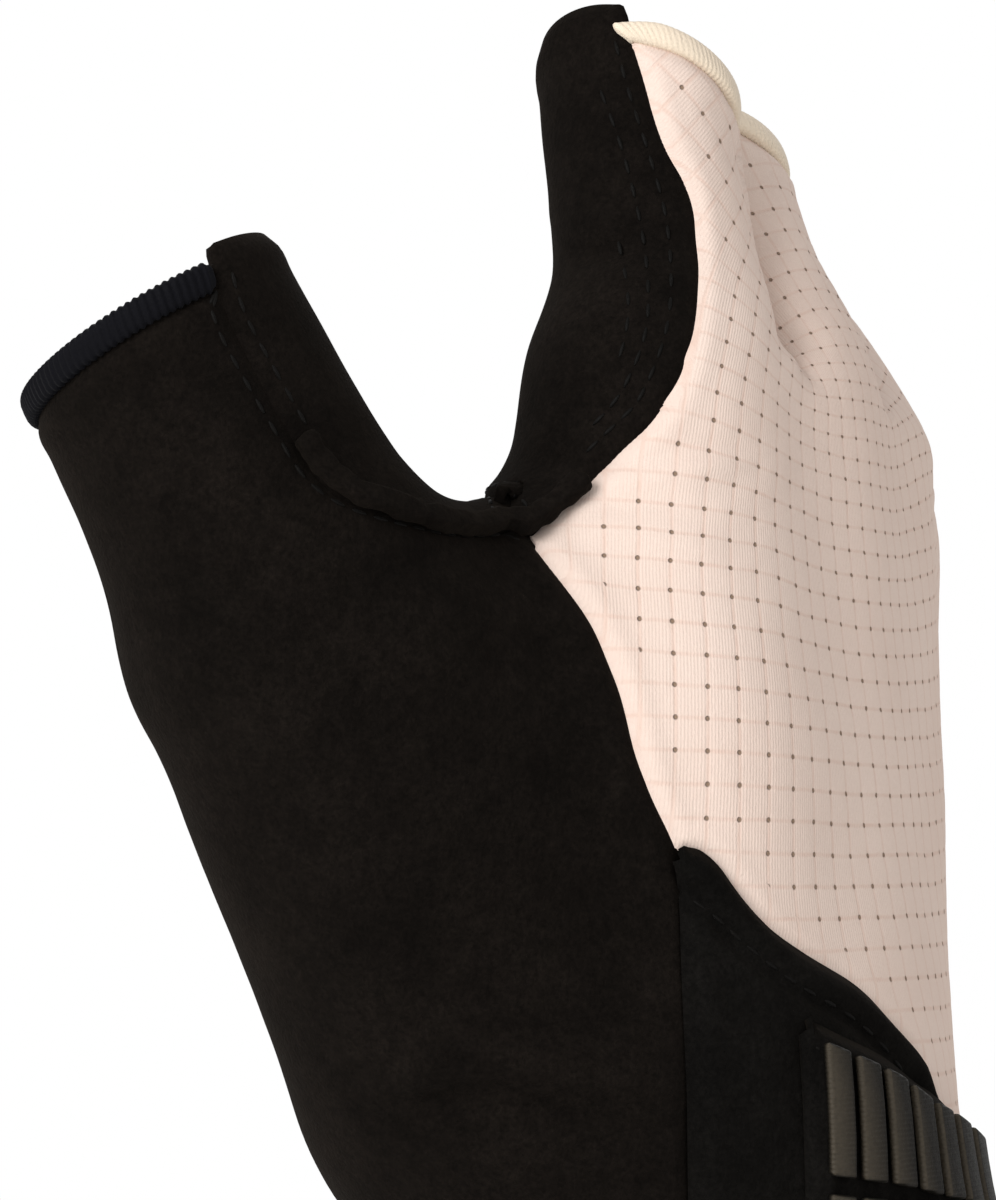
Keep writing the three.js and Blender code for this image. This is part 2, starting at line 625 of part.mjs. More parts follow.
const backFaces = [];
const bases = {};
const baseLine = [];
ORDER.forEach((name, i) => {
  const { o, facing } = stall(name, 0);
  const from = i === 0 ? along(indexEdge, INDEX_BASE_ROW) : backForks[i - 1];
  const to = i === 3 ? along(hidden.littleSide, LITTLE_BASE) : backForks[i];
  bases[name] = row(facing, [{ o, p: from }, { o, p: to }], [PER_FINGER], 1, stallForm[name]);
  bases[name][0] = from;
  bases[name][PER_FINGER] = to;
  baseLine.push(...(i === 0 ? bases[name] : bases[name].slice(1)));
});
const knuckleSide = (t) => along(indexEdge, INDEX_KNUCKLE_ROW + (INDEX_BASE_ROW - INDEX_KNUCKLE_ROW) * t);
const knuckleFarSide = (t) => along(hidden.littleSide, SEAM_AT_KNUCKLE + (LITTLE_BASE - SEAM_AT_KNUCKLE) * t);
const knuckles = patch(knuckleLine, baseLine, knuckleSide, knuckleFarSide, placeOnBack, KNUCKLE_ROWS,
  handForm);

const backRows = inset([...backHand, ...knuckles.slice(1)], { first: true, last: true, bottom: true });
backFaces.push(...quads(backRows, handForm));
const rimRows = {};
ORDER.forEach((name, i) => {
  const base = backRows.at(-1).slice(i * PER_FINGER, (i + 1) * PER_FINGER + 1);
  const lines = {};
  if (i === 0) {
    lines.from = (t) => along(indexEdge, INDEX_BASE_ROW + (indexEdge.length - 1 - INDEX_BASE_ROW) * t);
  }
  const rows = halfStall(name, 1, base, STALL_ROWS[name], PER_FINGER, lines);
  if (i === 0) {
    rows.slice(1).forEach((line) => {
      line[0] = add(line[0], times(unit(sub(line[1], line[0])), SEAM_GAP / 2));
    });
  }
  rimRows[name] = rows.at(-1);
  backFaces.push(...quads(rows, stallForm[name]));
});
glove.add(sheet("back_panel", backFaces, 0, -STRETCH, stretch));

// Index stall, thumb side and palm side
const webEnd = hidden.webBack.at(-1);
const webCrest = seen(WEB_CREST, handForm);
const indexBase = row([-0.05, 0.15, 1],
  [{ o: INDEX_HEEL, p: frontSeam[0] }, { o: INDEX_HEEL, p: webCrest }, { o: INDEX_HEEL, p: webEnd },
    { o: INDEX_BASE_INNER, p: palmForks[0] }],
  [INDEX_COLUMNS[0] / 2, INDEX_COLUMNS[0] / 2, INDEX_COLUMNS[1]], -1, handForm);
indexBase[0] = frontSeam[0];
indexBase[INDEX_COLUMNS[0]] = webEnd;
indexBase[indexBase.length - 1] = palmForks[0];
const indexFront = [...overWeb, ...indexEdge.slice(1)];
const indexRows = [indexBase];
for (let r = 1; r <= INDEX_ROWS; r += 1) {
  const t = r / INDEX_ROWS;
  const { o, facing } = stall("index", t);
  const near = mix(INDEX_HEEL, o, Math.min(1, t * 1.5));
  const rim = stall("index", 1);
  const front = r < INDEX_ROWS ? along(indexFront, t * (indexFront.length - 1))
    : cast(rim.o, bearingLine(rim.facing, INDEX_RIM_BEARING), stallForm.index);
  const stops = [{ o: near, p: front }, { o, p: seamPoint("index", t, 1, -1) }];
  indexRows.push(row(facing, stops, [INDEX_COLUMNS[0] + INDEX_COLUMNS[1]], -1, stallForm.index));
}
const indexPanel = inset(inset(indexRows, { first: true }), { bottom: true }, SEAM_GAP);
glove.add(sheet("index_panel", quads(indexPanel, stallForm.index), 0, -SUEDE, suede));

// Palm
const webColumns = PALM_WEB + INDEX_COLUMNS[1];
const PALM_COLUMNS = webColumns + 3 * PER_FINGER;
const palmPlaces = (c) => {
  const stops = [[0, 4], [PALM_WEB, 3.4], [webColumns, 2.5], [PALM_COLUMNS - PER_FINGER / 2, 0],
    [PALM_COLUMNS, 0]];
  const i = stops.findIndex(([at], k) => k > 0 && c <= at);
  return mix(stops[i - 1], stops[i], (c - stops[i - 1][0]) / (stops[i][0] - stops[i - 1][0]))[1];
};
const palmHem = [];
const palmKnuckles = [];
for (let c = 0; c <= PALM_COLUMNS; c += 1) {
  palmHem.push(level(...mix(HIDDEN.crease.at(-1), HIDDEN.littleSide[0], c / PALM_COLUMNS)));
  const place = palmPlaces(c);
  const bearing = between(PALM_BEARINGS, Math.min(2, c / PALM_WEB)) - pastEnd(c, PALM_COLUMNS) * PALM_TURN;
  const o = inner(place, between(PALM_HEIGHTS, place));
  palmKnuckles.push(cast(o, bearingLine(HAND_UP, bearing, PALM_RISE), handForm));
}
palmKnuckles[0] = along(hidden.crease, 1);
palmKnuckles[PALM_COLUMNS] = knuckleLine[BACK_COLUMNS];
const palmTop = [...sample(hidden.webBack, 0, 3, PALM_WEB), ...indexBase.slice(INDEX_COLUMNS[0] + 1)];
["middle", "ring", "little"].forEach((name, i) => {
  const { o, facing } = stall(name, 0);
  const from = palmForks[i];
  const to = name === "little" ? along(hidden.littleSide, LITTLE_BASE) : palmForks[i + 1];
  const arc = row(facing, [{ o, p: from }, { o, p: to }], [PER_FINGER], -1, stallForm[name]);
  arc[PER_FINGER] = to;
  palmTop.push(...arc.slice(1));
});
const palmSide = (t) => along(hidden.crease, 5 - 4 * t);
const palmFar = (t) => along(hidden.littleSide, SEAM_AT_KNUCKLE * t);
const palmLow = patch(palmHem, palmKnuckles, palmSide, palmFar, palmPlaces, PALM_ROWS, handForm);
const palmHigh = patch(palmKnuckles, palmTop, (t) => along(hidden.crease, 1 - t), knuckleFarSide, palmPlaces,
  KNUCKLE_ROWS, handForm);
const palmRows = inset([...palmLow, ...palmHigh.slice(1)], { first: true, last: true });
palmRows[palmRows.length - 1] = palmRows.at(-1).map((p, c) =>
  (c < webColumns ? add(p, times(unit(sub(palmRows.at(-2)[c], p)), SEAM_GAP)) : p));
const palmFaces = quads(palmRows, handForm);
["middle", "ring", "little"].forEach((name, i) => {
  const start = webColumns + i * PER_FINGER;
  const base = palmRows.at(-1).slice(start, start + PER_FINGER + 1);
  const rows = halfStall(name, -1, base, STALL_ROWS[name], PER_FINGER);
  palmFaces.push(...quads(rows, stallForm[name]));
});
glove.add(sheet("palm_panel", palmFaces, 0, -SUEDE, suede));

// Thumb
const thumbRim = scaled(THUMB_RIM.at);
const thumbFacing = unit(THUMB_RIM.faces);
const thumbRimAt = (bearing) => cast(thumbRim, bearingLine(thumbFacing, bearing), handForm);
const frontChain = [...thumbSeam, ...underWeb.slice(1), ...frontSeam.slice(1), ...bandEnd.slice(1)];
frontChain[0] = thumbRimAt(THUMB_RIM_BEARINGS.front);
const backChain = [thumbRimAt(THUMB_RIM_BEARINGS.back), ...hidden.thumbBack, ...hidden.crease.slice(1)];
const thumbSteps = 2 * (THUMB_ROWS.length - 1);
const thumbRows = Array.from({ length: thumbSteps + 1 }, (_, r) => {
  const [k, b, fall, shift] = along(THUMB_ROWS, r / 2);
  const front = along(frontChain, k);
  const back = along(backChain, b);
  const left = [-1, 0, -fall];
  const facing = cross(left, sub(front, back));
  const o = add(mix(front, back, 0.5), times(left, scaled(shift)));
  return row(facing, [{ o, p: front }, { o, p: back }], [THUMB_COLUMNS], -1, handForm);
});
const thumbFaces = quads(inset(thumbRows, { first: true, last: true }), handForm);
glove.add(sheet("thumb_panel", thumbFaces, 0, -SUEDE, suede));

// Inner side of the thumb and the web
const gussetBack = [backChain[0], ...hidden.thumbBack, ...hidden.webBack.slice(1)];
const turnBetween = (a, b, t) => {
  const angle = Math.acos(Math.min(1, Math.max(-1, dot(a, b))));
  return unit(add(times(a, Math.sin((1 - t) * angle)), times(b, Math.sin(t * angle))));
};
const gussetRows = [];
const gussetSteps = 2 * (GUSSET_ROWS.length - 1);
for (let r = 0; r < gussetSteps; r += 1) {
  const [k, b, x, y, z, ...crest] = along(GUSSET_ROWS, r / 2);
  const o = scaled([x, y, z]);
  const looks = [unit(sub(along(frontChain, k), o)), unit(crest), unit(sub(along(gussetBack, b), o))];
  const half = INDEX_COLUMNS[0] / 2;
  gussetRows.push(Array.from({ length: 2 * half + 1 }, (_, c) => {
    const i = c < half ? 0 : 1;
    return cast(o, turnBetween(looks[i], looks[i + 1], (c - i * half) / half), handForm);
  }));
}
gussetRows.push(indexBase.slice(0, INDEX_COLUMNS[0] + 1));
const gusset = inset(inset(gussetRows, { first: true, last: true }), { top: true }, SEAM_GAP);
glove.add(sheet("thumb_gusset", quads(gusset, handForm), 0, -SUEDE, suede));

// Edging of the openings
const edging = (name, line, form, facing, width, thickness, proud, material) => {
  const stations = line.map((p) => {
    const n = unit(outward(p, form));
    const out = unit(sub(n, times(facing, dot(n, facing))));
    return {
      at: add(add(p, times(facing, SEAT_GAP + width / 2)), times(out, proud - thickness / 2)),
      u: times(out, thickness / 2),
      v: times(facing, width / 2),
    };
  });
  glove.add(sweep(name, stations, EDGING_SIDES, material));
};
ORDER.forEach((name) => {
  const { facing } = stall(name, 1);
  edging(`${name}_binding`, rimRows[name], stallForm[name], facing, BINDING_WIDTH, BINDING_THICKNESS,
    BINDING_PROUD, elastic);
});
edging("thumb_hem", inset(thumbRows, { first: true, last: true }, HEM_END_GAP)[0], handForm, thumbFacing,
  HEM_WIDTH, HEM_THICKNESS, HEM_PROUD, ribbing);

// Rolled seam under the web
const pipingLine = [...underWeb, ...overWeb.slice(1)];
const pipingStations = sample(pipingLine, 0, pipingLine.length - 1, PIPING_STEPS).map((p, i, all) => {
  const n = unit(outward(p, handForm));
  const way = unit(sub(all[Math.min(PIPING_STEPS, i + 1)], all[Math.max(0, i - 1)]));
  const u = unit(sub(n, times(way, dot(n, way))));
  return {
    at: add(p, times(u, PIPING_RADIUS + SEAT_GAP)),
    u: times(u, PIPING_RADIUS),
    v: times(cross(way, u), PIPING_RADIUS),
  };
});
glove.add(sweep("web_piping", pipingStations, EDGING_SIDES, suede));

// Wrist band
const bandHem = bandLine.map(([x, y], c) => {
  const bearing = Math.atan2(y - scaled(BAND_MIDDLE[1]), x - scaled(BAND_MIDDLE[0])) / DEG;
  return level(...BAND_MIDDLE, 0, Math.max(BAND_FIRST_BEARING + BAND_BEARING_STEP * c, bearing), 0);
});
bandHem[0] = bandEnd.at(-1);
bandHem[BACK_COLUMNS] = hidden.littleSide[0];
const placeOnBand = (c) => 3 - (3 * c) / BACK_COLUMNS;
const bandRows = patch(bandHem, bandLine, (t) => along(bandEnd, (bandEnd.length - 1) * (1 - t)),
  (t) => along(hidden.littleSide, SEAM_AT_BAND * t), placeOnBand, BAND_ROWS, handForm);
const bandFaces = quads(inset(bandRows, { first: true, last: true, top: true }, BAND_SEAM_GAP), handForm);
glove.add(sheet("cuff_band", bandFaces, BAND_OUT, BAND_IN, padding));

// Closure tab with its raised bars
const tabCrest = sample(tabTop, 0, tabTop.length - 1, TAB_COLUMNS);
const tabHem = tabCrest.map((p) => {
  const o = [...scaled(TAB_INNER), TAB_BOTTOM_HEIGHT];
  return cast(o, [p[0] + TAB_LEAN - o[0], p[1] - o[1], 0], handForm);
});
const tabPlace = (column, t) => {
  const p = mix(along(tabHem, column), along(tabCrest, column), t);
  const o = inner(TAB_PLACE, p[2]);
  return cast(o, sub(p, o), handForm);
};
const tabLine = (r) => tabCrest.map((_, c) => tabPlace(c, r / TAB_ROWS));
const tabRows = Array.from({ length: TAB_ROWS + 1 }, (_, r) => tabLine(r));
const TAB_LOW = BAND_OUT + SEAT_GAP;
glove.add(sheet("closure_tab", quads(tabRows, handForm), TAB_LOW + TAB, TAB_LOW, padding, false));
const tabLengths = [0];
for (let c = 1; c <= TAB_COLUMNS; c += 1) {
  const step = Math.hypot(...sub(tabRows[TAB_ROWS / 2][c], tabRows[TAB_ROWS / 2][c - 1]));
  tabLengths.push(tabLengths[c - 1] + step * BAR_STRETCH);
}
const columnAt = (length) => {
  const i = tabLengths.findIndex((v, c) => c > 0 && (v >= length || c === TAB_COLUMNS));
  return i - 1 + (length - tabLengths[i - 1]) / (tabLengths[i] - tabLengths[i - 1]);
};
BAR_ROWS.forEach(([low, high], r) => {
  for (let c = 0; c < BAR_COLUMNS; c += 1) {
    const start = BAR_MARGIN + c * BAR_PITCH;
    const rows = [0, 1, 2, 3].map((k) => [0, 0.5, 1].map((w) =>
      tabPlace(columnAt(start + w * BAR_WIDTH), low + ((high - low) * k) / 3)));
    const bottom = TAB_LOW + TAB + SEAT_GAP;
    const name = `grip_bar_${r + 1}_${c + 1}`;
    glove.add(sheet(name, quads(rows, handForm), bottom + BAR_HEIGHT, bottom, grip, false));
  }
});

export default glove;
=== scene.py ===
"""Looks of a half-finger cycling glove: perforated stretch back, suede palm and thumb, elastic edging and wrist tab."""

import json
import math

import bmesh
import bpy
import numpy as np
from bpy.props import FloatProperty, FloatVectorProperty, PointerProperty
from mathutils import Matrix, Vector, noise
from mathutils.bvhtree import BVHTree
from mathutils.kdtree import KDTree

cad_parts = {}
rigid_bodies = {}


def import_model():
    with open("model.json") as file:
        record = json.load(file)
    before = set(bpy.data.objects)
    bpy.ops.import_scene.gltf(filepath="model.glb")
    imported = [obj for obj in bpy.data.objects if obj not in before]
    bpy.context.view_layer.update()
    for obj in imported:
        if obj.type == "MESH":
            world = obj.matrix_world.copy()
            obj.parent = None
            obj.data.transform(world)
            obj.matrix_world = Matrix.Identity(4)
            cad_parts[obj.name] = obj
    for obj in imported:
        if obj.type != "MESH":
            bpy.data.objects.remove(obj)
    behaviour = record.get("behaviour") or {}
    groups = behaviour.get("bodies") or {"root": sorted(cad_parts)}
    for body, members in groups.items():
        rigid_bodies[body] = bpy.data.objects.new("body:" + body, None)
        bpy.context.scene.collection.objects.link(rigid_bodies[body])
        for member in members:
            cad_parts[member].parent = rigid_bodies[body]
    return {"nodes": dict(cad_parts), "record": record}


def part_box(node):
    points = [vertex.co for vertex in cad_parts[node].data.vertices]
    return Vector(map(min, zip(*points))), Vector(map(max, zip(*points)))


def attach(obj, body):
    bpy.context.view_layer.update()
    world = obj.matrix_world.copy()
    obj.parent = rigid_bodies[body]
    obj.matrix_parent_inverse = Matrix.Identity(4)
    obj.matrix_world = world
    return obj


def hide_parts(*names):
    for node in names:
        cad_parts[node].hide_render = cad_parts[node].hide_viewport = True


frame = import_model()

bl_info = {
    "name": "Cycling Glove",
    "version": (1, 0, 0),
    "blender": (4, 5, 0),
    "location": "3D View > Sidebar > Glove",
    "description": "Cloth panels, edgings, stitching and wrist tab of a half-finger cycling glove",
    "category": "Add Mesh",
}

MM = 0.001
WELD = 1e-6

# The picture's view: its size in pixels, the eye in mm and the scale on the plane it was measured in
PICTURE = (996, 1200)
EYE = np.array([-22.95, -685.0, 74.74])
PIXELS_PER_MM = 9.5
PLANE_Y = 15.0
SENSOR = 36.0

# A solid's cloth wall in mm, how exactly it is met, and the angle past which its cut edge turns
SOLID_WALLS = {"back_panel": 1.0, "index_panel": 1.2, "palm_panel": 1.2, "thumb_panel": 1.2, "thumb_gusset": 1.2,
               "cuff_band": 2.0, "closure_tab": 1.2}
WALL_MATCH = 0.003
CUT_EDGE_ANGLE = math.radians(40)
SMOOTH_LEVELS = 3
EVEN_ROUNDS = 4
CALM_ROUNDS = 12
SEAM_REACH = 1.2
FREE_REACH = 0.2

SUEDE_PANELS = ("index_panel", "palm_panel", "thumb_panel", "thumb_gusset")
FINGERS = ("index", "middle", "ring", "little")

# Folds seen in the picture: panel, height in mm, half width in mm, then picture points
FOLDS = [
    ("thumb_panel", 0.9, 1.7, [(385, 1088), (440, 1070), (520, 1062), (600, 1074), (660, 1090)]),
    ("thumb_panel", -1.3, 1.5, [(380, 1118), (440, 1102), (520, 1100), (610, 1112), (670, 1124)]),
    ("thumb_panel", -0.45, 3.6, [(112, 630), (160, 612), (220, 596), (285, 590)]),
    ("thumb_panel", 0.45, 4.5, [(450, 545), (478, 600), (500, 660)]),
    ("thumb_panel", -0.4, 3.0, [(320, 500), (360, 560), (380, 640)]),
    ("index_panel", -0.9, 1.5, [(550, 247), (598, 251), (645, 240)]),
    ("index_panel", 0.35, 2.0, [(556, 228), (600, 230), (640, 222)]),
    ("index_panel", -0.35, 1.6, [(520, 455), (560, 462), (600, 448)]),
    ("back_panel", 0.4, 1.6, [(590, 492), (640, 476), (700, 464), (770, 466)]),
    ("back_panel", -0.35, 1.4, [(592, 480), (650, 461), (710, 450), (770, 452)]),
    ("back_panel", -0.3, 1.5, [(575, 508), (640, 500), (700, 502)]),
    ("back_panel", 0.3, 1.8, [(560, 528), (620, 530), (680, 540), (740, 560)]),
    ("back_panel", -0.55, 2.6, [(735, 120), (760, 184), (793, 263), (838, 338)]),
    ("back_panel", 0.3, 2.4, [(800, 330), (850, 400), (880, 480), (890, 600)]),
]

# Stitch rows on the index panel in picture points
INDEX_STITCHES = {
    "outer": [(614, 37), (629, 93), (652, 164), (667, 224), (671, 291), (663, 343), (637, 403), (611, 428),
              (584, 455)],
    "inner": [(599, 86), (620, 142), (635, 198), (646, 257), (648, 317), (640, 352), (618, 398), (590, 428)],
    "third": [(617, 236), (627, 282), (628, 325), (618, 362)],
}
# Panels whose seams are stitched through on each suede panel
SEWN_TO = {
    "index_panel": ("palm_panel", "thumb_gusset"),
    "palm_panel": ("back_panel", "index_panel", "thumb_panel", "thumb_gusset", "cuff_band"),
    "thumb_panel": ("palm_panel", "thumb_gusset"),
    "thumb_gusset": ("palm_panel", "thumb_panel", "index_panel"),
}
BAND_STITCHES = [(690, 899), (715, 916), (751, 949), (800, 986), (845, 1012), (880, 1042), (905, 1075)]
TAB_STITCHES = [(812, 1046), (850, 1064), (884, 1088), (912, 1112), (938, 1138)]


def srgb(code):
    """Linear colour, with alpha, of an sRGB hex code."""
    parts = [int(code[i:i + 2], 16) / 255 for i in (1, 3, 5)]
    return [c / 12.92 if c <= 0.04045 else ((c + 0.055) / 1.055) ** 2.4 for c in parts] + [1.0]


def size(default, name, description):
    """A length property; its default is in millimetres."""
    return FloatProperty(name=name, description=description, default=default * MM, min=0, precision=5,
                         subtype="DISTANCE", unit="LENGTH")


def colour(code, name, description):
    """A colour property."""
    return FloatVectorProperty(name=name, description=description, default=srgb(code), size=4, min=0, max=1,
                               subtype="COLOR")


class GloveSizes(bpy.types.PropertyGroup):
    """Sizes of the cloth, its holes, the threads and the edgings."""

    suede_wall: size(1.2, "Suede", "Thickness of the suede panels")
    stretch_wall: size(1.0, "Stretch fabric", "Thickness of the back panel")
    band_wall: size(2.0, "Wrist band", "Thickness of the padded wrist band")
    tab_wall: size(1.2, "Closure tab", "Thickness of the closure tab")
    hole_across: size(3.4, "Holes across", "Distance between holes across the hand")
    hole_down: size(3.1, "Holes down", "Distance between holes along the hand")
    hole_width: size(0.4, "Hole", "Width of one hole in the back")
    stitch_pitch: size(2.5, "Stitch pitch", "Distance from one stitch to the next")
    stitch_length: size(1.75, "Stitch", "Length of one stitch that shows")
    thread: size(0.42, "Thread", "Thickness of the sewing thread")
    rib_pitch: size(0.85, "Rib pitch", "Distance between the threads that wrap the thumb hem")
    tape_rib_pitch: size(0.6, "Tape rib pitch", "Distance between the ribs of the elastic tape")


class GloveColours(bpy.types.PropertyGroup):
    """Colours of the cloth, the tape and the rubber."""

    stretch: colour("#D0BBAF", "Stretch fabric", "Colour of the back")
    # Painted shade: the hole colour stands for the dark seen through each hole of the back
    hole: colour("#85705F", "Hole", "Colour seen in a hole of the back")
    suede: colour("#0D0A08", "Suede", "Colour of the palm and thumb")
    tape: colour("#DCCDBA", "Elastic tape", "Colour of the finger edging")
    hem: colour("#050508", "Hem thread", "Colour of the thumb hem")
    band: colour("#0A0908", "Wrist band", "Colour of the wrist band and tab")
    bars: colour("#3E382F", "Grip bars", "Colour of the raised bars")


# Picture view


def picture_place(points):
    """Picture points of places in mm."""
    points = np.asarray(points, float)
    depth = points[:, 1] - EYE[1]
    scale = PIXELS_PER_MM * (PLANE_Y - EYE[1]) / depth
    across = PICTURE[0] / 2 + (points[:, 0] - EYE[0]) * scale
    down = PICTURE[1] / 2 - (points[:, 2] - EYE[2]) * scale
    return np.column_stack([across, down])


def picture_line(place):
    """Direction from the eye through a picture point."""
    return Vector(((place[0] - PICTURE[0] / 2) / PIXELS_PER_MM, PLANE_Y - EYE[1],
                   (PICTURE[1] / 2 - place[1]) / PIXELS_PER_MM)).normalized()


def spread(points, pitch):
    """Points at an even pitch along a smooth line through the given ones."""
    points = np.asarray(points, float)
    before = 2 * points[0] - points[1]
    after = 2 * points[-1] - points[-2]
    p = np.vstack([before, points, after])
    fine = []
    for i in range(1, len(p) - 2):
        for t in np.linspace(0, 1, 24, endpoint=False):
            fine.append(p[i] + 0.5 * t * (p[i + 1] - p[i - 1] + t * (
                2 * p[i - 1] - 5 * p[i] + 4 * p[i + 1] - p[i + 2]
                + t * (3 * (p[i] - p[i + 1]) + p[i + 2] - p[i - 1]))))
    fine = np.array(fine + [points[-1]])
    lengths = np.concatenate([[0], np.cumsum(np.linalg.norm(np.diff(fine, axis=0), axis=1))])
    count = max(2, int(round(lengths[-1] / pitch)) + 1)
    wanted = np.linspace(0, lengths[-1], count)
    return np.column_stack([np.interp(wanted, lengths, fine[:, k]) for k in range(points.shape[1])])


def distance_to_line(places, line):
    """Distance of each place to a broken line, in the same units."""
    best = np.full(len(places), np.inf)
    for a, b in zip(line[:-1], line[1:]):
        way = b - a
        t = np.clip(((places - a) @ way) / max(way @ way, 1e-9), 0, 1)
        best = np.minimum(best, np.linalg.norm(places - a - t[:, None] * way, axis=1))
    return best


# Cloth layers taken from the frame's solids


def inner_points():
    """Middles of the hollows that the hand fills, in metres."""
    boxes = [o["box_m"] for o in frame["record"]["physics"]["openings"]]
    return [(Vector(low) + Vector(high)) / 2 for low, high in boxes]


def cut_edge_faces(bm, wall):
    """Faces of a cloth solid's narrow cut edge: they hold an edge that crosses the wall."""

    def turns(face):
        return any(e.calc_face_angle() > CUT_EDGE_ANGLE for e in face.edges)

    crossing = [e for e in bm.edges if abs(e.calc_length() / MM - wall) < WALL_MATCH
                and all(turns(f) for f in e.link_faces)]
    return {f for e in crossing for f in e.link_faces}


def layers_of(faces):
    """Groups of faces that hang together by their edges."""
    left = set(faces)
    groups = []
    for first in faces:
        if first not in left:
            continue
        left.discard(first)
        group = [first]
        for face in group:
            for edge in face.edges:
                for other in edge.link_faces:
                    if other in left:
                        left.discard(other)
                        group.append(other)
        groups.append(group)
    return groups


def squareness(edge):
    """How far the quad across an edge is from square: its worst corner's angle from a right one."""
    u, w = edge.verts
    p, q = (next(v for v in face.verts if v not in (u, w)) for face in edge.link_faces)
    ring = [v.co for v in (u, p, w, q)]
    return max(abs((ring[i - 1] - ring[i]).angle(ring[(i + 1) % 4] - ring[i]) - math.pi / 2) for i in range(4))


def pair_triangles(bm):
    """Joins triangles into the rows they were split from: forced pairs first, then the squarest at the front."""
    cost = {edge: squareness(edge) for edge in bm.edges if len(edge.link_faces) == 2}
    free = set(bm.faces)
    waiting = list(bm.faces)
    joined = []

    def open_edges(face):
        return [e for e in face.edges if e in cost and all(f in free for f in e.link_faces)]

    def at_front(edge):
        return any(len(e.link_faces) == 1 or any(f not in free for f in e.link_faces)
                   for face in edge.link_faces for e in face.edges)

    while free:
        chosen = None
        while waiting and chosen is None:
            face = waiting.pop()
            choices = open_edges(face) if face in free else []
            if len(choices) == 1:
                chosen = choices[0]
            elif not choices:
                free.discard(face)
        if chosen is None:
            pool = [e for e in cost if all(f in free for f in e.link_faces)]
            if not pool:
                break
            chosen = min([e for e in pool if at_front(e)] or pool, key=cost.get)
        joined.append(chosen)
        free -= set(chosen.link_faces)
        waiting += {f for face in chosen.link_faces for e in face.edges for f in e.link_faces if f in free}
    bmesh.ops.dissolve_edges(bm, edges=joined, use_verts=False)


def outer_layer(node):
    """The outer face of a cloth solid as a bmesh of four-sided faces, in metres."""
    bm = bmesh.new()
    bm.from_mesh(frame["nodes"][node].data)
    bmesh.ops.remove_doubles(bm, verts=bm.verts, dist=WELD)
    bm.normal_update()
    cut = cut_edge_faces(bm, SOLID_WALLS[node])
    groups = sorted(layers_of([f for f in bm.faces if f not in cut]), key=len)[-2:]
    middles = inner_points()

    def reach(group):
        return sum(min((f.calc_center_median() - m).length for m in middles) for f in group) / len(group)

    outer = set(max(groups, key=reach))
    bmesh.ops.delete(bm, geom=[f for f in bm.faces if f not in outer], context="FACES")
    pair_triangles(bm)
    return bm


def new_piece(name, bm):
    """An object at the origin that holds a bmesh."""
    mesh = bpy.data.meshes.new(name)
    bm.to_mesh(mesh)
    bm.free()
    piece = bpy.data.objects.new(name, mesh)
    bpy.context.scene.collection.objects.link(piece)
    return piece


def points_of(mesh):
    """Vertex places of a mesh in mm."""
    co = np.zeros(len(mesh.vertices) * 3, np.float32)
    mesh.vertices.foreach_get("co", co)
    return co.reshape(-1, 3).astype(float) / MM


def normals_of(mesh):
    """Vertex normals of a mesh."""
    n = np.zeros(len(mesh.vertices) * 3, np.float32)
    mesh.vertex_normals.foreach_get("vector", n)
    return n.reshape(-1, 3).astype(float)


def set_points(mesh, places):
    """Moves the vertices of a mesh to places in mm."""
    mesh.vertices.foreach_set("co", (places * MM).astype(np.float32).ravel())
    mesh.update()


def neighbour_mean(mesh):
    """A function that gives, for rows of vertex values, the mean over each vertex's neighbours."""
    ends = np.zeros(len(mesh.edges) * 2, np.int32)
    mesh.edges.foreach_get("vertices", ends)
    a, b = ends.reshape(-1, 2).T
    here, other = np.concatenate([a, b]), np.concatenate([b, a])
    count = np.bincount(here, minlength=len(mesh.vertices))[:, None]

    def mean(values):
        return np.column_stack([np.bincount(here, column[other], len(values)) for column in values.T]) / count

    return mean


def evened(piece, rounds):
    """Evens out a cage's rows, so that no two lie on top of each other; the rim and the shape stay."""
    mesh = piece.data
    surface = BVHTree.FromObject(piece, bpy.context.evaluated_depsgraph_get())
    mean = neighbour_mean(mesh)
    held = list(rim_vertices(mesh))
    places = points_of(mesh)
    for _ in range(rounds):
        moved = 0.5 * places + 0.5 * mean(places)
        moved[held] = places[held]
        places = np.array([surface.find_nearest(Vector(p * MM))[0] for p in moved]) / MM
    set_points(mesh, places)


def calmed(places, mesh, rounds):
    """Takes out the ripples between a fine mesh's rows without shrinking it; the rim stays."""
    mean = neighbour_mean(mesh)
    held = list(rim_vertices(mesh))
    kept = places[held]
    for _ in range(rounds):
        for share in (0.5, -0.52):
            places = places + share * (mean(places) - places)
            places[held] = kept
    return places


def smoothed(piece, levels):
    """Subdivides a piece smoothly, through its own vertices, and keeps the result."""
    cage = points_of(piece.data)
    target = cage.copy()
    modifier = piece.modifiers.new("Smooth", "SUBSURF")
    modifier.levels = modifier.render_levels = levels
    modifier.boundary_smooth = "PRESERVE_CORNERS"
    for _ in range(3):
        graph = bpy.context.evaluated_depsgraph_get()
        evaluated = piece.evaluated_get(graph).to_mesh()
        cage += 0.9 * (target - points_of(evaluated)[:len(cage)])
        piece.evaluated_get(graph).to_mesh_clear()
        set_points(piece.data, cage)
    graph = bpy.context.evaluated_depsgraph_get()
    final = bpy.data.meshes.new_from_object(piece.evaluated_get(graph))
    piece.modifiers.clear()
    piece.data = final
    return piece


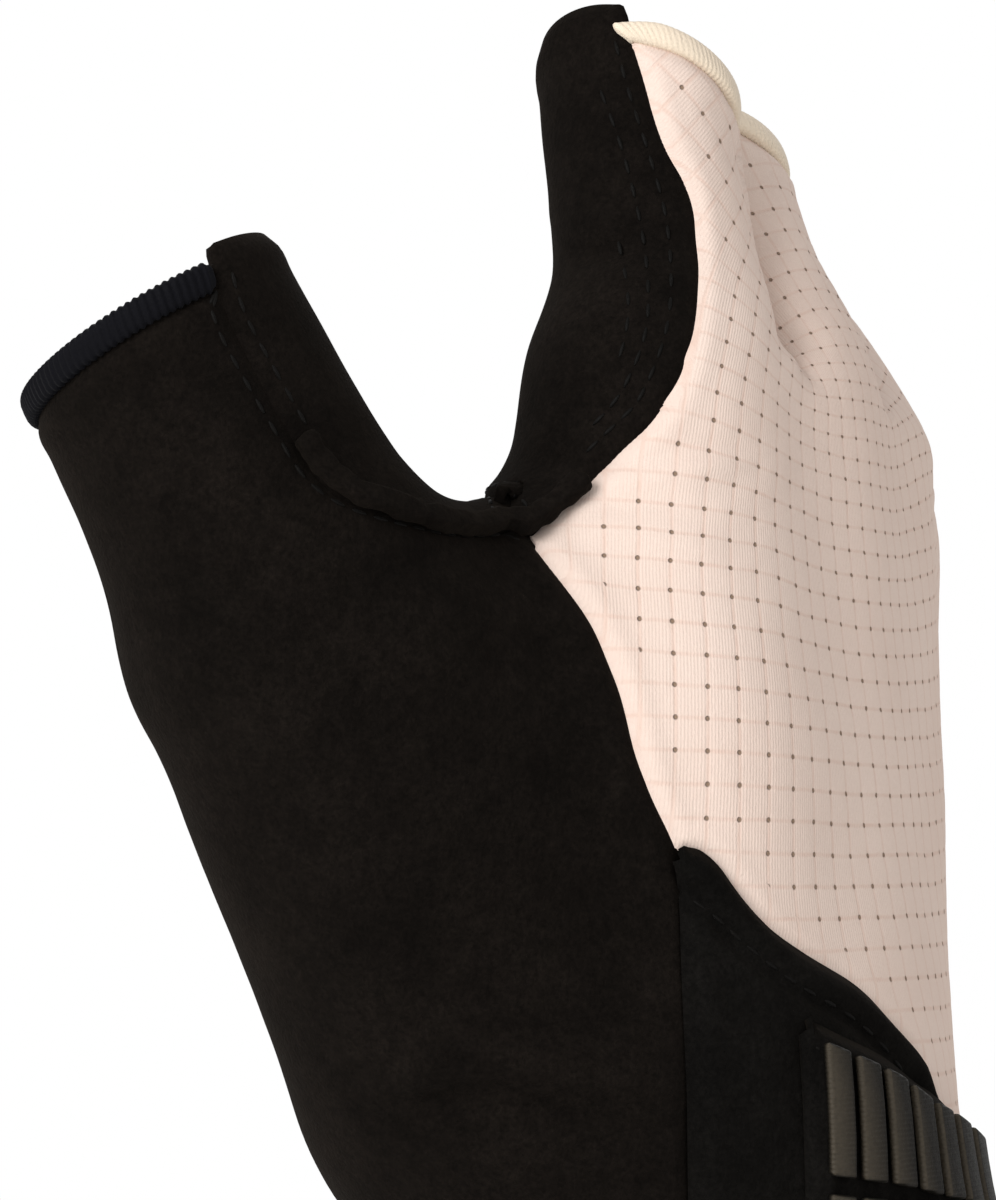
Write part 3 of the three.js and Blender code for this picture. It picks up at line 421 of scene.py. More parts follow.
def unwrapped(piece):
    """Lays a piece out flat as its cloth was cut, with a UV map in mm whose V runs to the fingertips."""
    bpy.context.view_layer.objects.active = piece
    for other in bpy.context.selected_objects:
        other.select_set(False)
    piece.select_set(True)
    bpy.ops.object.mode_set(mode="EDIT")
    bpy.ops.mesh.select_all(action="SELECT")
    bpy.ops.uv.unwrap(method="ANGLE_BASED", margin=0)
    bpy.ops.object.mode_set(mode="OBJECT")
    mesh = piece.data
    corner = np.zeros(len(mesh.loops), np.int32)
    mesh.loops.foreach_get("vertex_index", corner)
    flat = flat_places(mesh)
    places = points_of(mesh)
    edges = np.zeros(len(mesh.edges) * 2, np.int32)
    mesh.edges.foreach_get("vertices", edges)
    a, b = edges.reshape(-1, 2).T
    scale = np.median(np.linalg.norm(places[a] - places[b], axis=1)
                      / np.maximum(np.linalg.norm(flat[a] - flat[b], axis=1), 1e-9))
    flat = (flat - flat.mean(0)) * scale
    rise, *_ = np.linalg.lstsq(np.column_stack([flat, np.ones(len(flat))]), places[:, 2], rcond=None)
    up = rise[:2] / np.linalg.norm(rise[:2])
    aside = np.array([up[1], -up[0]])
    flat = np.column_stack([flat @ aside, flat @ up])
    mesh.uv_layers.active.data.foreach_set("uv", flat[corner].astype(np.float32).ravel())


def flat_places(mesh):
    """Place of each vertex on the flat cut, in mm."""
    uv = np.zeros(len(mesh.loops) * 2, np.float32)
    mesh.uv_layers.active.data.foreach_get("uv", uv)
    corner = np.zeros(len(mesh.loops), np.int32)
    mesh.loops.foreach_get("vertex_index", corner)
    flat = np.zeros((len(mesh.vertices), 2))
    flat[corner] = uv.reshape(-1, 2)
    return flat


def flat_cut(mesh):
    """Width, length and area of a panel's flat cut, in metres; all faces have four sides."""
    flat = flat_places(mesh) * MM
    corner = np.zeros(len(mesh.loops), np.int32)
    mesh.loops.foreach_get("vertex_index", corner)
    a, b, c, d = (flat[column] for column in corner.reshape(-1, 4).T)
    area = 0.5 * np.abs((c - a)[:, 0] * (d - b)[:, 1] - (c - a)[:, 1] * (d - b)[:, 0]).sum()
    width, length = np.ptp(flat, axis=0)
    return float(width), float(length), float(area)


def rim_vertices(mesh):
    """Vertices on the open edge of a mesh, and the vertices beside each of them."""
    uses = {}
    for polygon in mesh.polygons:
        for key in polygon.edge_keys:
            uses[key] = uses.get(key, 0) + 1
    beside = {}
    for (a, b), count in uses.items():
        if count == 1:
            beside.setdefault(a, []).append(b)
            beside.setdefault(b, []).append(a)
    return beside


def rim_loop(mesh):
    """The open edge of a mesh as a closed list of vertices."""
    beside = rim_vertices(mesh)
    loop = [min(beside)]
    passed = set(loop)
    while True:
        onward = [v for v in beside[loop[-1]] if v not in passed]
        if not onward:
            return loop
        loop.append(onward[0])
        passed.add(onward[0])


def rim_distance(places, rim_places):
    """Distance of each place to the nearest of the rim places, and which one that is."""
    tree = KDTree(len(rim_places))
    for i, p in enumerate(rim_places):
        tree.insert(p, i)
    tree.balance()
    found = [tree.find(p) for p in places]
    return np.array([f[2] for f in found]), np.array([f[1] for f in found])


def soft_waves(places, pitch, height, seed):
    """Slow unevenness of worn cloth, in mm."""
    offset = Vector((seed * 7.3, seed * 3.1, seed * 5.7))
    return height * np.array([noise.noise(Vector(p) / pitch + offset) for p in places])


def fold_heights(node, places, normals):
    """Heights of the folds on one panel, on the side that the picture shows."""
    height = np.zeros(len(places))
    seen = ((places - EYE) * normals).sum(1) < 0
    flat = picture_place(places)
    for panel, rise, half_width, line in FOLDS:
        if panel != node:
            continue
        line = spread(line, 8)
        away = distance_to_line(flat, line) / PIXELS_PER_MM
        ends = np.minimum(np.linalg.norm(flat - line[0], axis=1), np.linalg.norm(flat - line[-1], axis=1))
        fade = np.clip(ends / (4 * PIXELS_PER_MM), 0.25, 1)
        height += np.where(seen, rise * np.exp(-((away / half_width) ** 2)) * fade, 0)
    return height


SEAMS = {}


def edge_reach(node, rim):
    """How far each place of a panel's edge is let out, in mm: into the seam where another panel lies close by."""
    vertices, faces = [], []
    for other in SOLID_WALLS:
        if other not in (node, "closure_tab"):
            mesh = frame["nodes"][other].data
            faces += [[v + len(vertices) for v in p.vertices] for p in mesh.polygons]
            vertices += [v.co for v in mesh.vertices]
    tree = BVHTree.FromPolygons(vertices, faces)
    away = np.array([tree.find_nearest(Vector(p * MM))[3] for p in rim]) / MM
    return np.where(away < 2.0, SEAM_REACH, FREE_REACH)


def cloth_panel(node, wall, wave_seed, relief=None):
    """A cloth panel: the solid's outer face made smooth, with rolled seam edges, folds and a wall."""
    piece = new_piece(node + "_cloth", outer_layer(node))
    evened(piece, EVEN_ROUNDS)
    unwrapped(piece)
    smoothed(piece, SMOOTH_LEVELS)
    mesh = piece.data
    flat = flat_places(mesh)
    flat_cut(mesh)
    set_points(mesh, calmed(points_of(mesh), mesh, CALM_ROUNDS))
    places = points_of(mesh)
    normals = normals_of(mesh)
    loop = rim_loop(mesh)
    away, _ = rim_distance(places, places[loop])
    height = -0.5 * np.exp(-((away / 0.75) ** 2)) + 0.16 * np.exp(-(((away - 1.9) / 1.1) ** 2))
    height += fold_heights(node, places, normals)
    height += soft_waves(places, 14, 0.22, wave_seed) + soft_waves(places, 5, 0.07, wave_seed + 1)
    if relief is not None:
        height += relief(flat, away)
    SEAMS[node] = {"rim": places[loop], "normal": normals[loop]}
    places = places + normals * height[:, None]
    beside = rim_vertices(mesh)
    middle = np.zeros((len(mesh.vertices), 3))
    count = np.zeros(len(mesh.vertices))
    for edge in mesh.edges:
        a, b = edge.vertices
        for here, other in ((a, b), (b, a)):
            if here in beside and other not in beside:
                middle[here] += places[other]
                count[here] += 1
    inward = []
    for v in loop:
        way = middle[v] / count[v] - places[v] if count[v] else np.zeros(3)
        length = np.linalg.norm(way)
        inward.append(way / length if length > 0 else way)
    inward = np.array(inward)
    SEAMS[node]["inward"] = inward
    places[loop] -= edge_reach(node, SEAMS[node]["rim"])[:, None] * inward
    set_points(mesh, places)
    attribute = mesh.attributes.new("edge_mm", "FLOAT", "POINT")
    attribute.data.foreach_set("value", away.astype(np.float32))
    for polygon in mesh.polygons:
        polygon.use_smooth = True
    thickness = piece.modifiers.new("Wall", "SOLIDIFY")
    thickness.thickness = wall
    thickness.offset = -1
    thickness.use_even_offset = False
    return piece, flat


def tree_of(piece):
    """A ray tree of a piece as it is shown, in metres."""
    return BVHTree.FromObject(piece, bpy.context.evaluated_depsgraph_get())


def on_piece(piece, picture_points, pitch):
    """Places and normals, in metres, under an even row of picture points."""
    tree = tree_of(piece)
    rows = []
    for place in spread(picture_points, pitch * PIXELS_PER_MM):
        hit, normal, _, _ = tree.ray_cast(Vector(EYE * MM), picture_line(place))
        if hit is not None:
            rows.append((hit, normal))
    return rows


# Thread


def add_stitch(bm, place, normal, way, length, thickness):
    """One stitch as a small rounded thread lying on the cloth."""
    along = (way - normal * way.dot(normal)).normalized()
    aside = normal.cross(along)
    turn = Matrix((along, aside, normal)).transposed().to_4x4()
    grow = Matrix.Diagonal((length / 2, thickness / 2, thickness / 2.4, 1))
    bmesh.ops.create_icosphere(bm, subdivisions=2, radius=1,
                               matrix=Matrix.Translation(place + normal * thickness * 0.12) @ turn @ grow)


def stitch_row(bm, rows, length, thickness):
    """Stitches at the middle of each step of a row of places and normals."""
    for (a, n, *_), (b, m, *_) in zip(rows[:-1], rows[1:]):
        if (b - a).length < 3 * length:
            add_stitch(bm, (a + b) / 2, (n + m).normalized(), b - a, length, thickness)


def seam_rows(node, others, inset, pitch, tree):
    """Rows of places at an inset from a panel's edge, only where another panel's edge lies close by."""
    seam = SEAMS[node]
    near = np.vstack([SEAMS[other]["rim"] for other in others])
    away, _ = rim_distance(seam["rim"], near)
    line = seam["rim"] + seam["inward"] * inset
    runs, run = [], []
    for i in range(len(line)):
        if away[i] < 1.6:
            run.append(i)
        elif run:
            runs.append(run)
            run = []
    if run:
        runs.append(run)
    rows = []
    for run in runs:
        if len(run) < 6:
            continue
        found = []
        for place in spread(line[run], pitch):
            hit, normal, _, _ = tree.find_nearest(Vector(place * MM))
            found.append((hit, normal))
        rows.append(found)
    return rows


# Materials


def add(tree, kind, inputs=None, **settings):
    """Adds a node with its settings, and sets or links its inputs."""
    made = tree.nodes.new(kind)
    for key, value in settings.items():
        setattr(made, key, value)
    for key, value in (inputs or {}).items():
        if isinstance(value, bpy.types.NodeSocket):
            tree.links.new(value, made.inputs[key])
        else:
            made.inputs[key].default_value = value
    return made


def new_material(name):
    """A material with its tree emptied down to the output."""
    material = bpy.data.materials.new(name)
    material.use_nodes = True
    tree = material.node_tree
    tree.nodes.clear()
    return material, tree


def finish_shader(tree, inputs, height=None, bump_mm=0.1):
    """The principled shader with its constants and links, and a bump where a height is given."""
    if height is not None:
        bump = add(tree, "ShaderNodeBump", {"Height": height, "Strength": 1.0, "Distance": bump_mm * MM})
        inputs = {**inputs, "Normal": bump.outputs["Normal"]}
    shader = add(tree, "ShaderNodeBsdfPrincipled", inputs)
    add(tree, "ShaderNodeOutputMaterial", {"Surface": shader.outputs["BSDF"]})
    return shader


def per_mm(value):
    """Noise scale on metre coordinates for a grain of that many mm."""
    return 1 / (value * MM)


def suede_material(name, base):
    """Microfibre suede, sanded to a short nap: matt, nearly black, with paler brushed patches."""
    material, tree = new_material(name)
    place = add(tree, "ShaderNodeTexCoord").outputs["Object"]
    nap = add(tree, "ShaderNodeTexNoise", {"Vector": place, "Scale": per_mm(0.45), "Detail": 3.0, "Roughness": 0.6})
    patch = add(tree, "ShaderNodeTexNoise", {"Vector": place, "Scale": per_mm(9), "Detail": 4.0, "Roughness": 0.55})
    strands = add(tree, "ShaderNodeTexNoise", {"Vector": place, "Scale": per_mm(1.3), "Detail": 5.0,
                                               "Roughness": 0.7})
    mixed = add(tree, "ShaderNodeMath", {0: nap.outputs["Fac"], 1: strands.outputs["Fac"]}, operation="MULTIPLY")
    total = add(tree, "ShaderNodeMath", {0: mixed.outputs[0], 1: patch.outputs["Fac"]}, operation="MULTIPLY_ADD")
    total.inputs[2].default_value = 0.0
    ramp = add(tree, "ShaderNodeValToRGB", {"Fac": total.outputs[0]})
    ramp.color_ramp.elements[0].position = 0.05
    ramp.color_ramp.elements[0].color = [c * 0.55 for c in base[:3]] + [1]
    ramp.color_ramp.elements[1].position = 0.24
    ramp.color_ramp.elements[1].color = [c * 1.9 for c in base[:3]] + [1]
    height = add(tree, "ShaderNodeMath", {0: nap.outputs["Fac"], 1: strands.outputs["Fac"]}, operation="ADD")
    finish_shader(tree, {
        "Base Color": ramp.outputs["Color"], "Roughness": 0.97, "IOR": 1.45, "Specular IOR Level": 0.05,
        "Sheen Weight": 0.035, "Sheen Roughness": 0.5, "Sheen Tint": srgb("#8C7A66"),
    }, height.outputs[0], 0.14)
    return material


def stretch_material(base, hole, across, down, width):
    """Knitted polyester and elastane with punched holes on a grid of fine grooves: matt, a little soft; painted shade
    darkens the grooves and fills each hole.
    """
    material, tree = new_material("perforated_knit")
    uv = add(tree, "ShaderNodeUVMap", uv_map="UVMap").outputs["UV"]
    place = add(tree, "ShaderNodeTexCoord").outputs["Object"]
    edge = add(tree, "ShaderNodeAttribute", attribute_name="edge_mm", attribute_type="GEOMETRY").outputs["Fac"]
    wobble = add(tree, "ShaderNodeTexNoise", {"Vector": uv, "Scale": 0.12, "Detail": 1.0})
    shift = add(tree, "ShaderNodeVectorMath", {0: wobble.outputs["Color"], 1: (0.5, 0.5, 0.5)}, operation="SUBTRACT")
    moved = add(tree, "ShaderNodeVectorMath", {0: shift.outputs["Vector"], 1: (0.5, 0.5, 0.0), 2: uv},
                operation="MULTIPLY_ADD")
    cell = add(tree, "ShaderNodeVectorMath", {0: moved.outputs["Vector"], 1: (across / MM, down / MM, 1.0)},
               operation="DIVIDE")
    part = add(tree, "ShaderNodeVectorMath", {0: cell.outputs["Vector"]}, operation="FRACTION")
    centred = add(tree, "ShaderNodeVectorMath", {0: part.outputs["Vector"], 1: (0.5, 0.5, 0.0)}, operation="SUBTRACT")
    local = add(tree, "ShaderNodeVectorMath", {0: centred.outputs["Vector"], 1: (across / MM, down / MM, 0.0)},
                operation="MULTIPLY")
    reach = add(tree, "ShaderNodeVectorMath", {0: local.outputs["Vector"]}, operation="LENGTH")
    punched = add(tree, "ShaderNodeMapRange", {"Value": reach.outputs["Value"], "From Min": width / MM * 0.35,
                                               "From Max": width / MM * 0.75, "To Min": 1.0, "To Max": 0.0},
                  interpolation_type="SMOOTHSTEP")
    inside = add(tree, "ShaderNodeMapRange", {"Value": edge, "From Min": 3.2, "From Max": 3.4})
    holes = add(tree, "ShaderNodeMath", {0: punched.outputs["Result"], 1: inside.outputs["Result"]},
                operation="MULTIPLY")
    split = add(tree, "ShaderNodeSeparateXYZ", {"Vector": local.outputs["Vector"]})
    lines = []
    for axis in ("X", "Y"):
        away = add(tree, "ShaderNodeMath", {0: split.outputs[axis]}, operation="ABSOLUTE")
        lines.append(add(tree, "ShaderNodeMapRange", {"Value": away.outputs[0], "From Min": 0.05, "From Max": 0.32,
                                                      "To Min": 1.0, "To Max": 0.0},
                         interpolation_type="SMOOTHSTEP").outputs["Result"])
    groove = add(tree, "ShaderNodeMath", {0: lines[0], 1: lines[1]}, operation="MAXIMUM")
    uneven = add(tree, "ShaderNodeTexNoise", {"Vector": uv, "Scale": 0.5, "Detail": 2.0})
    groove = add(tree, "ShaderNodeMath", {0: groove.outputs[0], 1: uneven.outputs["Fac"]}, operation="MULTIPLY")
    knit = add(tree, "ShaderNodeTexWave", {"Vector": uv, "Scale": 0.9, "Distortion": 1.6, "Detail": 2.0,
                                           "Detail Scale": 3.0}, wave_type="BANDS", bands_direction="X")
    fuzz = add(tree, "ShaderNodeTexNoise", {"Vector": place, "Scale": per_mm(0.35), "Detail": 3.0,
                                            "Roughness": 0.65})
    blotch = add(tree, "ShaderNodeTexNoise", {"Vector": place, "Scale": per_mm(22), "Detail": 2.0})
    tint = add(tree, "ShaderNodeMix", {"Factor": blotch.outputs["Fac"], "A": base,
                                       "B": srgb("#DAC9BE")}, data_type="RGBA")
    # Painted shade in the grooves: their colour is darkened where they run between the holes
    painted_groove_shade = add(tree, "ShaderNodeMix", {"Factor": groove.outputs[0], "A": tint.outputs["Result"],
                                        "B": srgb("#CDB2A4")}, data_type="RGBA")
    grain = add(tree, "ShaderNodeMapRange", {"Value": fuzz.outputs["Fac"], "From Min": 0.3, "From Max": 0.7,
                                             "To Min": 0.0, "To Max": 0.16})
    worn = add(tree, "ShaderNodeMix", {"Factor": grain.outputs["Result"], "A": painted_groove_shade.outputs["Result"],
                                       "B": srgb("#C4A698")}, data_type="RGBA")
    # Painted shade in each hole: the hole colour is mixed in where the holes are punched
    with_hole_shade = add(tree, "ShaderNodeMix", {"Factor": holes.outputs[0], "A": worn.outputs["Result"], "B": hole},
                   data_type="RGBA")
    low = add(tree, "ShaderNodeMath", {0: holes.outputs[0], 1: -1.6, 2: 0.0}, operation="MULTIPLY_ADD")
    low = add(tree, "ShaderNodeMath", {0: groove.outputs[0], 1: -0.25, 2: low.outputs[0]}, operation="MULTIPLY_ADD")
    low = add(tree, "ShaderNodeMath", {0: knit.outputs["Fac"], 1: 0.16, 2: low.outputs[0]}, operation="MULTIPLY_ADD")
    low = add(tree, "ShaderNodeMath", {0: fuzz.outputs["Fac"], 1: 0.35, 2: low.outputs[0]}, operation="MULTIPLY_ADD")
    finish_shader(tree, {
        "Base Color": with_hole_shade.outputs["Result"], "Roughness": 0.92, "IOR": 1.5, "Specular IOR Level": 0.1,
        "Sheen Weight": 0.06, "Sheen Roughness": 0.5, "Sheen Tint": srgb("#FFEDE0"),
    }, low.outputs[0], 0.14)
    return material


def tape_material(base, pitch):
    """Folded elastic tape, woven polyester: matt cream with fine cross ribs."""
    material, tree = new_material("elastic_tape")
    uv = add(tree, "ShaderNodeUVMap", uv_map="UVMap").outputs["UV"]
    place = add(tree, "ShaderNodeTexCoord").outputs["Object"]
    ribs = add(tree, "ShaderNodeTexWave", {"Vector": uv, "Scale": 0.314 / (pitch / MM), "Distortion": 0.4},
               wave_type="BANDS", bands_direction="X")
    fuzz = add(tree, "ShaderNodeTexNoise", {"Vector": place, "Scale": per_mm(0.3), "Detail": 2.0})
    mixed = add(tree, "ShaderNodeMix", {"Factor": fuzz.outputs["Fac"], "A": base, "B": srgb("#D2C2AC")},
                data_type="RGBA")
    height = add(tree, "ShaderNodeMath", {0: ribs.outputs["Fac"], 1: 0.5, 2: fuzz.outputs["Fac"]},
                 operation="MULTIPLY_ADD")
    finish_shader(tree, {"Base Color": mixed.outputs["Result"], "Roughness": 0.8, "IOR": 1.5,
                         "Specular IOR Level": 0.25, "Sheen Weight": 0.1}, height.outputs[0], 0.08)
    return material


def thread_material(name, base, roughness):
    """Textured polyester thread: dark, with a slight gloss on each strand."""
    material, tree = new_material(name)
    place = add(tree, "ShaderNodeTexCoord").outputs["Object"]
    strands = add(tree, "ShaderNodeTexNoise", {"Vector": place, "Scale": per_mm(0.25), "Detail": 2.0})
    mixed = add(tree, "ShaderNodeMix", {"Factor": strands.outputs["Fac"], "A": base,
                                        "B": [min(1, c * 1.8) for c in base[:3]] + [1]}, data_type="RGBA")
    finish_shader(tree, {"Base Color": mixed.outputs["Result"], "Roughness": roughness, "IOR": 1.5,
                         "Specular IOR Level": 0.06, "Sheen Weight": 0.01}, strands.outputs["Fac"], 0.08)
    return material


def rubber_material(base):
    """Screen-printed silicone, slightly ribbed by its mesh: satin grey-brown, with painted sheen and shade: lighter
    where a bar faces the camera, darker where it turns away.
    """
    material, tree = new_material("ribbed_silicone")
    uv = add(tree, "ShaderNodeTexCoord").outputs["Object"]
    ribs = add(tree, "ShaderNodeTexWave", {"Vector": uv, "Scale": 0.314 / (0.5 * MM), "Distortion": 0.6,
                                           "Detail": 1.0}, wave_type="BANDS", bands_direction="Z")
    grain = add(tree, "ShaderNodeTexNoise", {"Vector": uv, "Scale": per_mm(0.5), "Detail": 4.0, "Roughness": 0.7})
    mixed = add(tree, "ShaderNodeMix", {"Factor": grain.outputs["Fac"], "A": [c * 0.5 for c in base[:3]] + [1],
                                        "B": [c * 1.3 for c in base[:3]] + [1]}, data_type="RGBA")
    # Painted sheen and shade: the colour goes dark as a bar turns away from the camera
    aside = add(tree, "ShaderNodeLayerWeight", {"Blend": 0.5}).outputs["Facing"]
    fade = add(tree, "ShaderNodeMapRange", {"Value": aside, "From Min": 0.2, "From Max": 0.45})
    mixed = add(tree, "ShaderNodeMix", {"Factor": fade.outputs["Result"], "A": mixed.outputs["Result"],
                                        "B": [c * 0.15 for c in base[:3]] + [1]}, data_type="RGBA")
    height = add(tree, "ShaderNodeMath", {0: ribs.outputs["Fac"], 1: 0.8, 2: grain.outputs["Fac"]},
                 operation="MULTIPLY_ADD")
    finish_shader(tree, {"Base Color": mixed.outputs["Result"], "Roughness": 0.5, "IOR": 1.42,
                         "Specular IOR Level": 0.15}, height.outputs[0], 0.1)
    return material


def floor_material():
    """Matt white paper: no gloss, hardly any grain."""
    material, tree = new_material("white_paper")
    place = add(tree, "ShaderNodeTexCoord").outputs["Object"]
    grain = add(tree, "ShaderNodeTexNoise", {"Vector": place, "Scale": per_mm(3), "Detail": 2.0})
    mixed = add(tree, "ShaderNodeMix", {"Factor": grain.outputs["Fac"], "A": srgb("#F6F5F3"), "B": srgb("#FBFAF8")},
                data_type="RGBA")
    finish_shader(tree, {"Base Color": mixed.outputs["Result"], "Roughness": 1.0})
    return material


MATERIALS = {}


def material_of(name):
    """The glove's material of that name, made when it is first asked for."""
    sizes, colours = bpy.context.scene.glove_sizes, bpy.context.scene.glove_colours
    makers = {
        "suede": lambda: suede_material("microfibre_suede", colours.suede),
        "stretch": lambda: stretch_material(colours.stretch, colours.hole, sizes.hole_across, sizes.hole_down,
                                            sizes.hole_width),
        "elastic": lambda: tape_material(colours.tape, sizes.tape_rib_pitch),
        "ribbing": lambda: thread_material("hem_thread", colours.hem, 0.7),
        "padding": lambda: suede_material("brushed_fleece", colours.band),
        "grip": lambda: rubber_material(colours.bars),
        "black_thread": lambda: thread_material("black_sewing_thread", srgb("#080706"), 0.55),
        "pale_thread": lambda: thread_material("pale_sewing_thread", srgb("#D8C0B2"), 0.7),
    }
    if name not in MATERIALS:
        MATERIALS[name] = makers[name]()
    return MATERIALS[name]


def settle_piece(piece, slot, *nodes, material=None):
    """Gives a piece its material and its body, and hides the solids that it stands for."""
    piece.data.materials.clear()
    piece.data.materials.append(material_of(material or slot))
    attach(piece, "root")
    if nodes:
        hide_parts(*nodes)
    return piece


# Edgings


def ring_sweep(name, centre, wide, thick, around, power=0.7):
    """A closed bar swept along a row of centres; wide and thick are its half axes at each one, in mm."""
    count = len(centre)
    bm = bmesh.new()
    bm.loops.layers.uv.new("UVMap")
    bmesh.ops.create_grid(bm, x_segments=count - 1, y_segments=around, size=1)
    layer = bm.loops.layers.uv.active
    lengths = np.concatenate([[0], np.cumsum(np.linalg.norm(np.diff(centre, axis=0), axis=1))])
    girth = 2 * (np.linalg.norm(wide[0]) + np.linalg.norm(thick[0]))
    where = {}
    for vert in bm.verts:
        i = int(round((vert.co.x + 1) / 2 * (count - 1)))
        k = int(round((vert.co.y + 1) / 2 * around))
        where[vert] = (i, k)
    for face in bm.faces:
        for loop in face.loops:
            i, k = where[loop.vert]
            loop[layer].uv = (lengths[i], girth * k / around)
    for vert, (i, k) in where.items():
        a = 2 * math.pi * (k % around) / around
        c, s = math.cos(a), math.sin(a)
        place = (centre[i] + wide[i] * math.copysign(abs(c) ** power, c)
                 + thick[i] * math.copysign(abs(s) ** power, s))
        vert.co = Vector(place * MM)
    bmesh.ops.remove_doubles(bm, verts=bm.verts, dist=WELD)
    ends = [e for e in bm.edges if e.is_boundary]
    bmesh.ops.holes_fill(bm, edges=ends, sides=0)
    bmesh.ops.recalc_face_normals(bm, faces=bm.faces)
    piece = new_piece(name, bm)
    for polygon in piece.data.polygons:
        polygon.use_smooth = True
    return piece


def rim_near(panel, node):
    """The stretch of a panel's edge that an edging solid covers: places and normals in mm."""
    low, high = (np.array(corner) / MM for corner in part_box(node))
    rim, normal = SEAMS[panel]["rim"], SEAMS[panel]["normal"]
    tree = BVHTree.FromObject(frame["nodes"][node], bpy.context.evaluated_depsgraph_get())
    close = []
    for p in rim:
        inside_box = np.all(p > low - 3) and np.all(p < high + 3)
        hit = tree.find_nearest(Vector(p * MM)) if inside_box else None
        close.append(hit is not None and hit[3] is not None and hit[3] < 0.9 * MM)
    close = np.array(close)
    start = next(i for i in range(len(close)) if close[i] and not close[i - 1])
    order = [(start + k) % len(close) for k in range(len(close))]
    run = []
    for i in order:
        if not close[i]:
            break
        run.append(i)
    return rim[run], normal[run], SEAMS[panel]["inward"][run]


def edging(name, panel, node, width, thickness, proud, pitch, rib, per_rib=4, around=20):
    """A soft edging round an opening, with a rib across it at each pitch."""
    rim, normal, inward = rim_near(panel, node)
    line = spread(rim, pitch / per_rib)
    share = np.linspace(0, 1, len(line))
    old = np.linspace(0, 1, len(rim))
    up = np.column_stack([np.interp(share, old, normal[:, k]) for k in range(3)])
    out = -np.column_stack([np.interp(share, old, inward[:, k]) for k in range(3)])
    up = smooth_rows(up, 6 * per_rib)
    out = smooth_rows(out, 6 * per_rib)
    out -= up * (out * up).sum(1)[:, None]
    out /= np.linalg.norm(out, axis=1)[:, None]
    up /= np.linalg.norm(up, axis=1)[:, None]
    wave = 1 + rib * np.cos(2 * math.pi * np.arange(len(line)) / per_rib)
    ends = np.clip(np.minimum(np.arange(len(line)), np.arange(len(line))[::-1]) / per_rib, 0, 1) ** 0.5
    grow = wave * (0.55 + 0.45 * ends)
    centre = line + out * (width / 2 - 0.1) + up * (proud - thickness / 2)
    return ring_sweep(name, centre, out * (width / 2 * grow)[:, None], up * (thickness / 2 * grow)[:, None],
                      around)


def smooth_rows(rows, window):
    """Running mean of rows, with the ends held."""
    padded = np.vstack([np.repeat(rows[:1], window, 0), rows, np.repeat(rows[-1:], window, 0)])
    sums = np.cumsum(np.vstack([np.zeros((1, rows.shape[1])), padded]), axis=0)
    span = 2 * window + 1
    return (sums[span:] - sums[:-span])[:len(rows)] / span


# Operators


class GLOVE_OT_back_panel(bpy.types.Operator):
    """Perforated stretch panel over the back of the hand and the fingers"""

    bl_idname = "glove.back_panel"
    bl_label = "Back panel"

    def execute(self, context):
        sizes = context.scene.glove_sizes
        across, down = sizes.hole_across / MM, sizes.hole_down / MM

        def relief(flat, away):
            u = (flat[:, 0] / across) % 1 - 0.5
            v = (flat[:, 1] / down) % 1 - 0.5
            hole = np.exp(-(((u * across) ** 2 + (v * down) ** 2) / 0.45 ** 2))
            groove = np.maximum(np.exp(-((u * across / 0.4) ** 2)), np.exp(-((v * down / 0.4) ** 2)))
            return -np.clip((away - 3) / 3, 0, 1) * (0.1 * hole + 0.025 * groove)

        piece, _ = cloth_panel("back_panel", sizes.stretch_wall, 1, relief)
        settle_piece(piece, "stretch", "back_panel")
        return {"FINISHED"}


class GLOVE_OT_suede_panels(bpy.types.Operator):
    """Suede palm, thumb, thumb gusset and index finger panels"""

    bl_idname = "glove.suede_panels"
    bl_label = "Suede panels"

    def execute(self, context):
        wall = context.scene.glove_sizes.suede_wall
        for seed, node in enumerate(SUEDE_PANELS, 2):
            piece, _ = cloth_panel(node, wall, seed)
            settle_piece(piece, "suede", node)
        return {"FINISHED"}


class GLOVE_OT_edgings(bpy.types.Operator):
    """Elastic tape round the finger openings and the wrapped hem of the thumb"""

    bl_idname = "glove.edgings"
    bl_label = "Edgings"

    def execute(self, context):
        sizes = context.scene.glove_sizes
        for finger in FINGERS:
            node = finger + "_binding"
            piece = edging(node + "_tape", "back_panel", node, 3.0, 1.9, 0.35, sizes.tape_rib_pitch / MM, 0.012)
            settle_piece(piece, "elastic", node)
        piece = edging("thumb_hem_wrap", "thumb_panel", "thumb_hem", 3.0, 2.0, 0.5, sizes.rib_pitch / MM, 0.07, 6)
        settle_piece(piece, "ribbing", "thumb_hem")
        return {"FINISHED"}


class GLOVE_OT_web_seam(bpy.types.Operator):
    """Rolled seam under the web between thumb and index finger"""

    bl_idname = "glove.web_seam"
    bl_label = "Web seam"

    def execute(self, context):
        bm = bmesh.new()
        bm.from_mesh(frame["nodes"]["web_piping"].data)
        bmesh.ops.remove_doubles(bm, verts=bm.verts, dist=WELD)
        bmesh.ops.dissolve_limit(bm, angle_limit=math.radians(1), verts=bm.verts, edges=bm.edges)
        bmesh.ops.join_triangles(bm, faces=bm.faces, angle_face_threshold=math.radians(40),
                                 angle_shape_threshold=math.pi)
        piece = smoothed(new_piece("web_seam_roll", bm), 2)
        mesh = piece.data
        places = points_of(mesh)
        places += normals_of(mesh) * (soft_waves(places, 2.2, 0.35, 9) + soft_waves(places, 0.9, 0.12, 10))[:, None]
        set_points(mesh, places)
        for polygon in mesh.polygons:
            polygon.use_smooth = True
        settle_piece(piece, "suede", "web_piping")
        return {"FINISHED"}


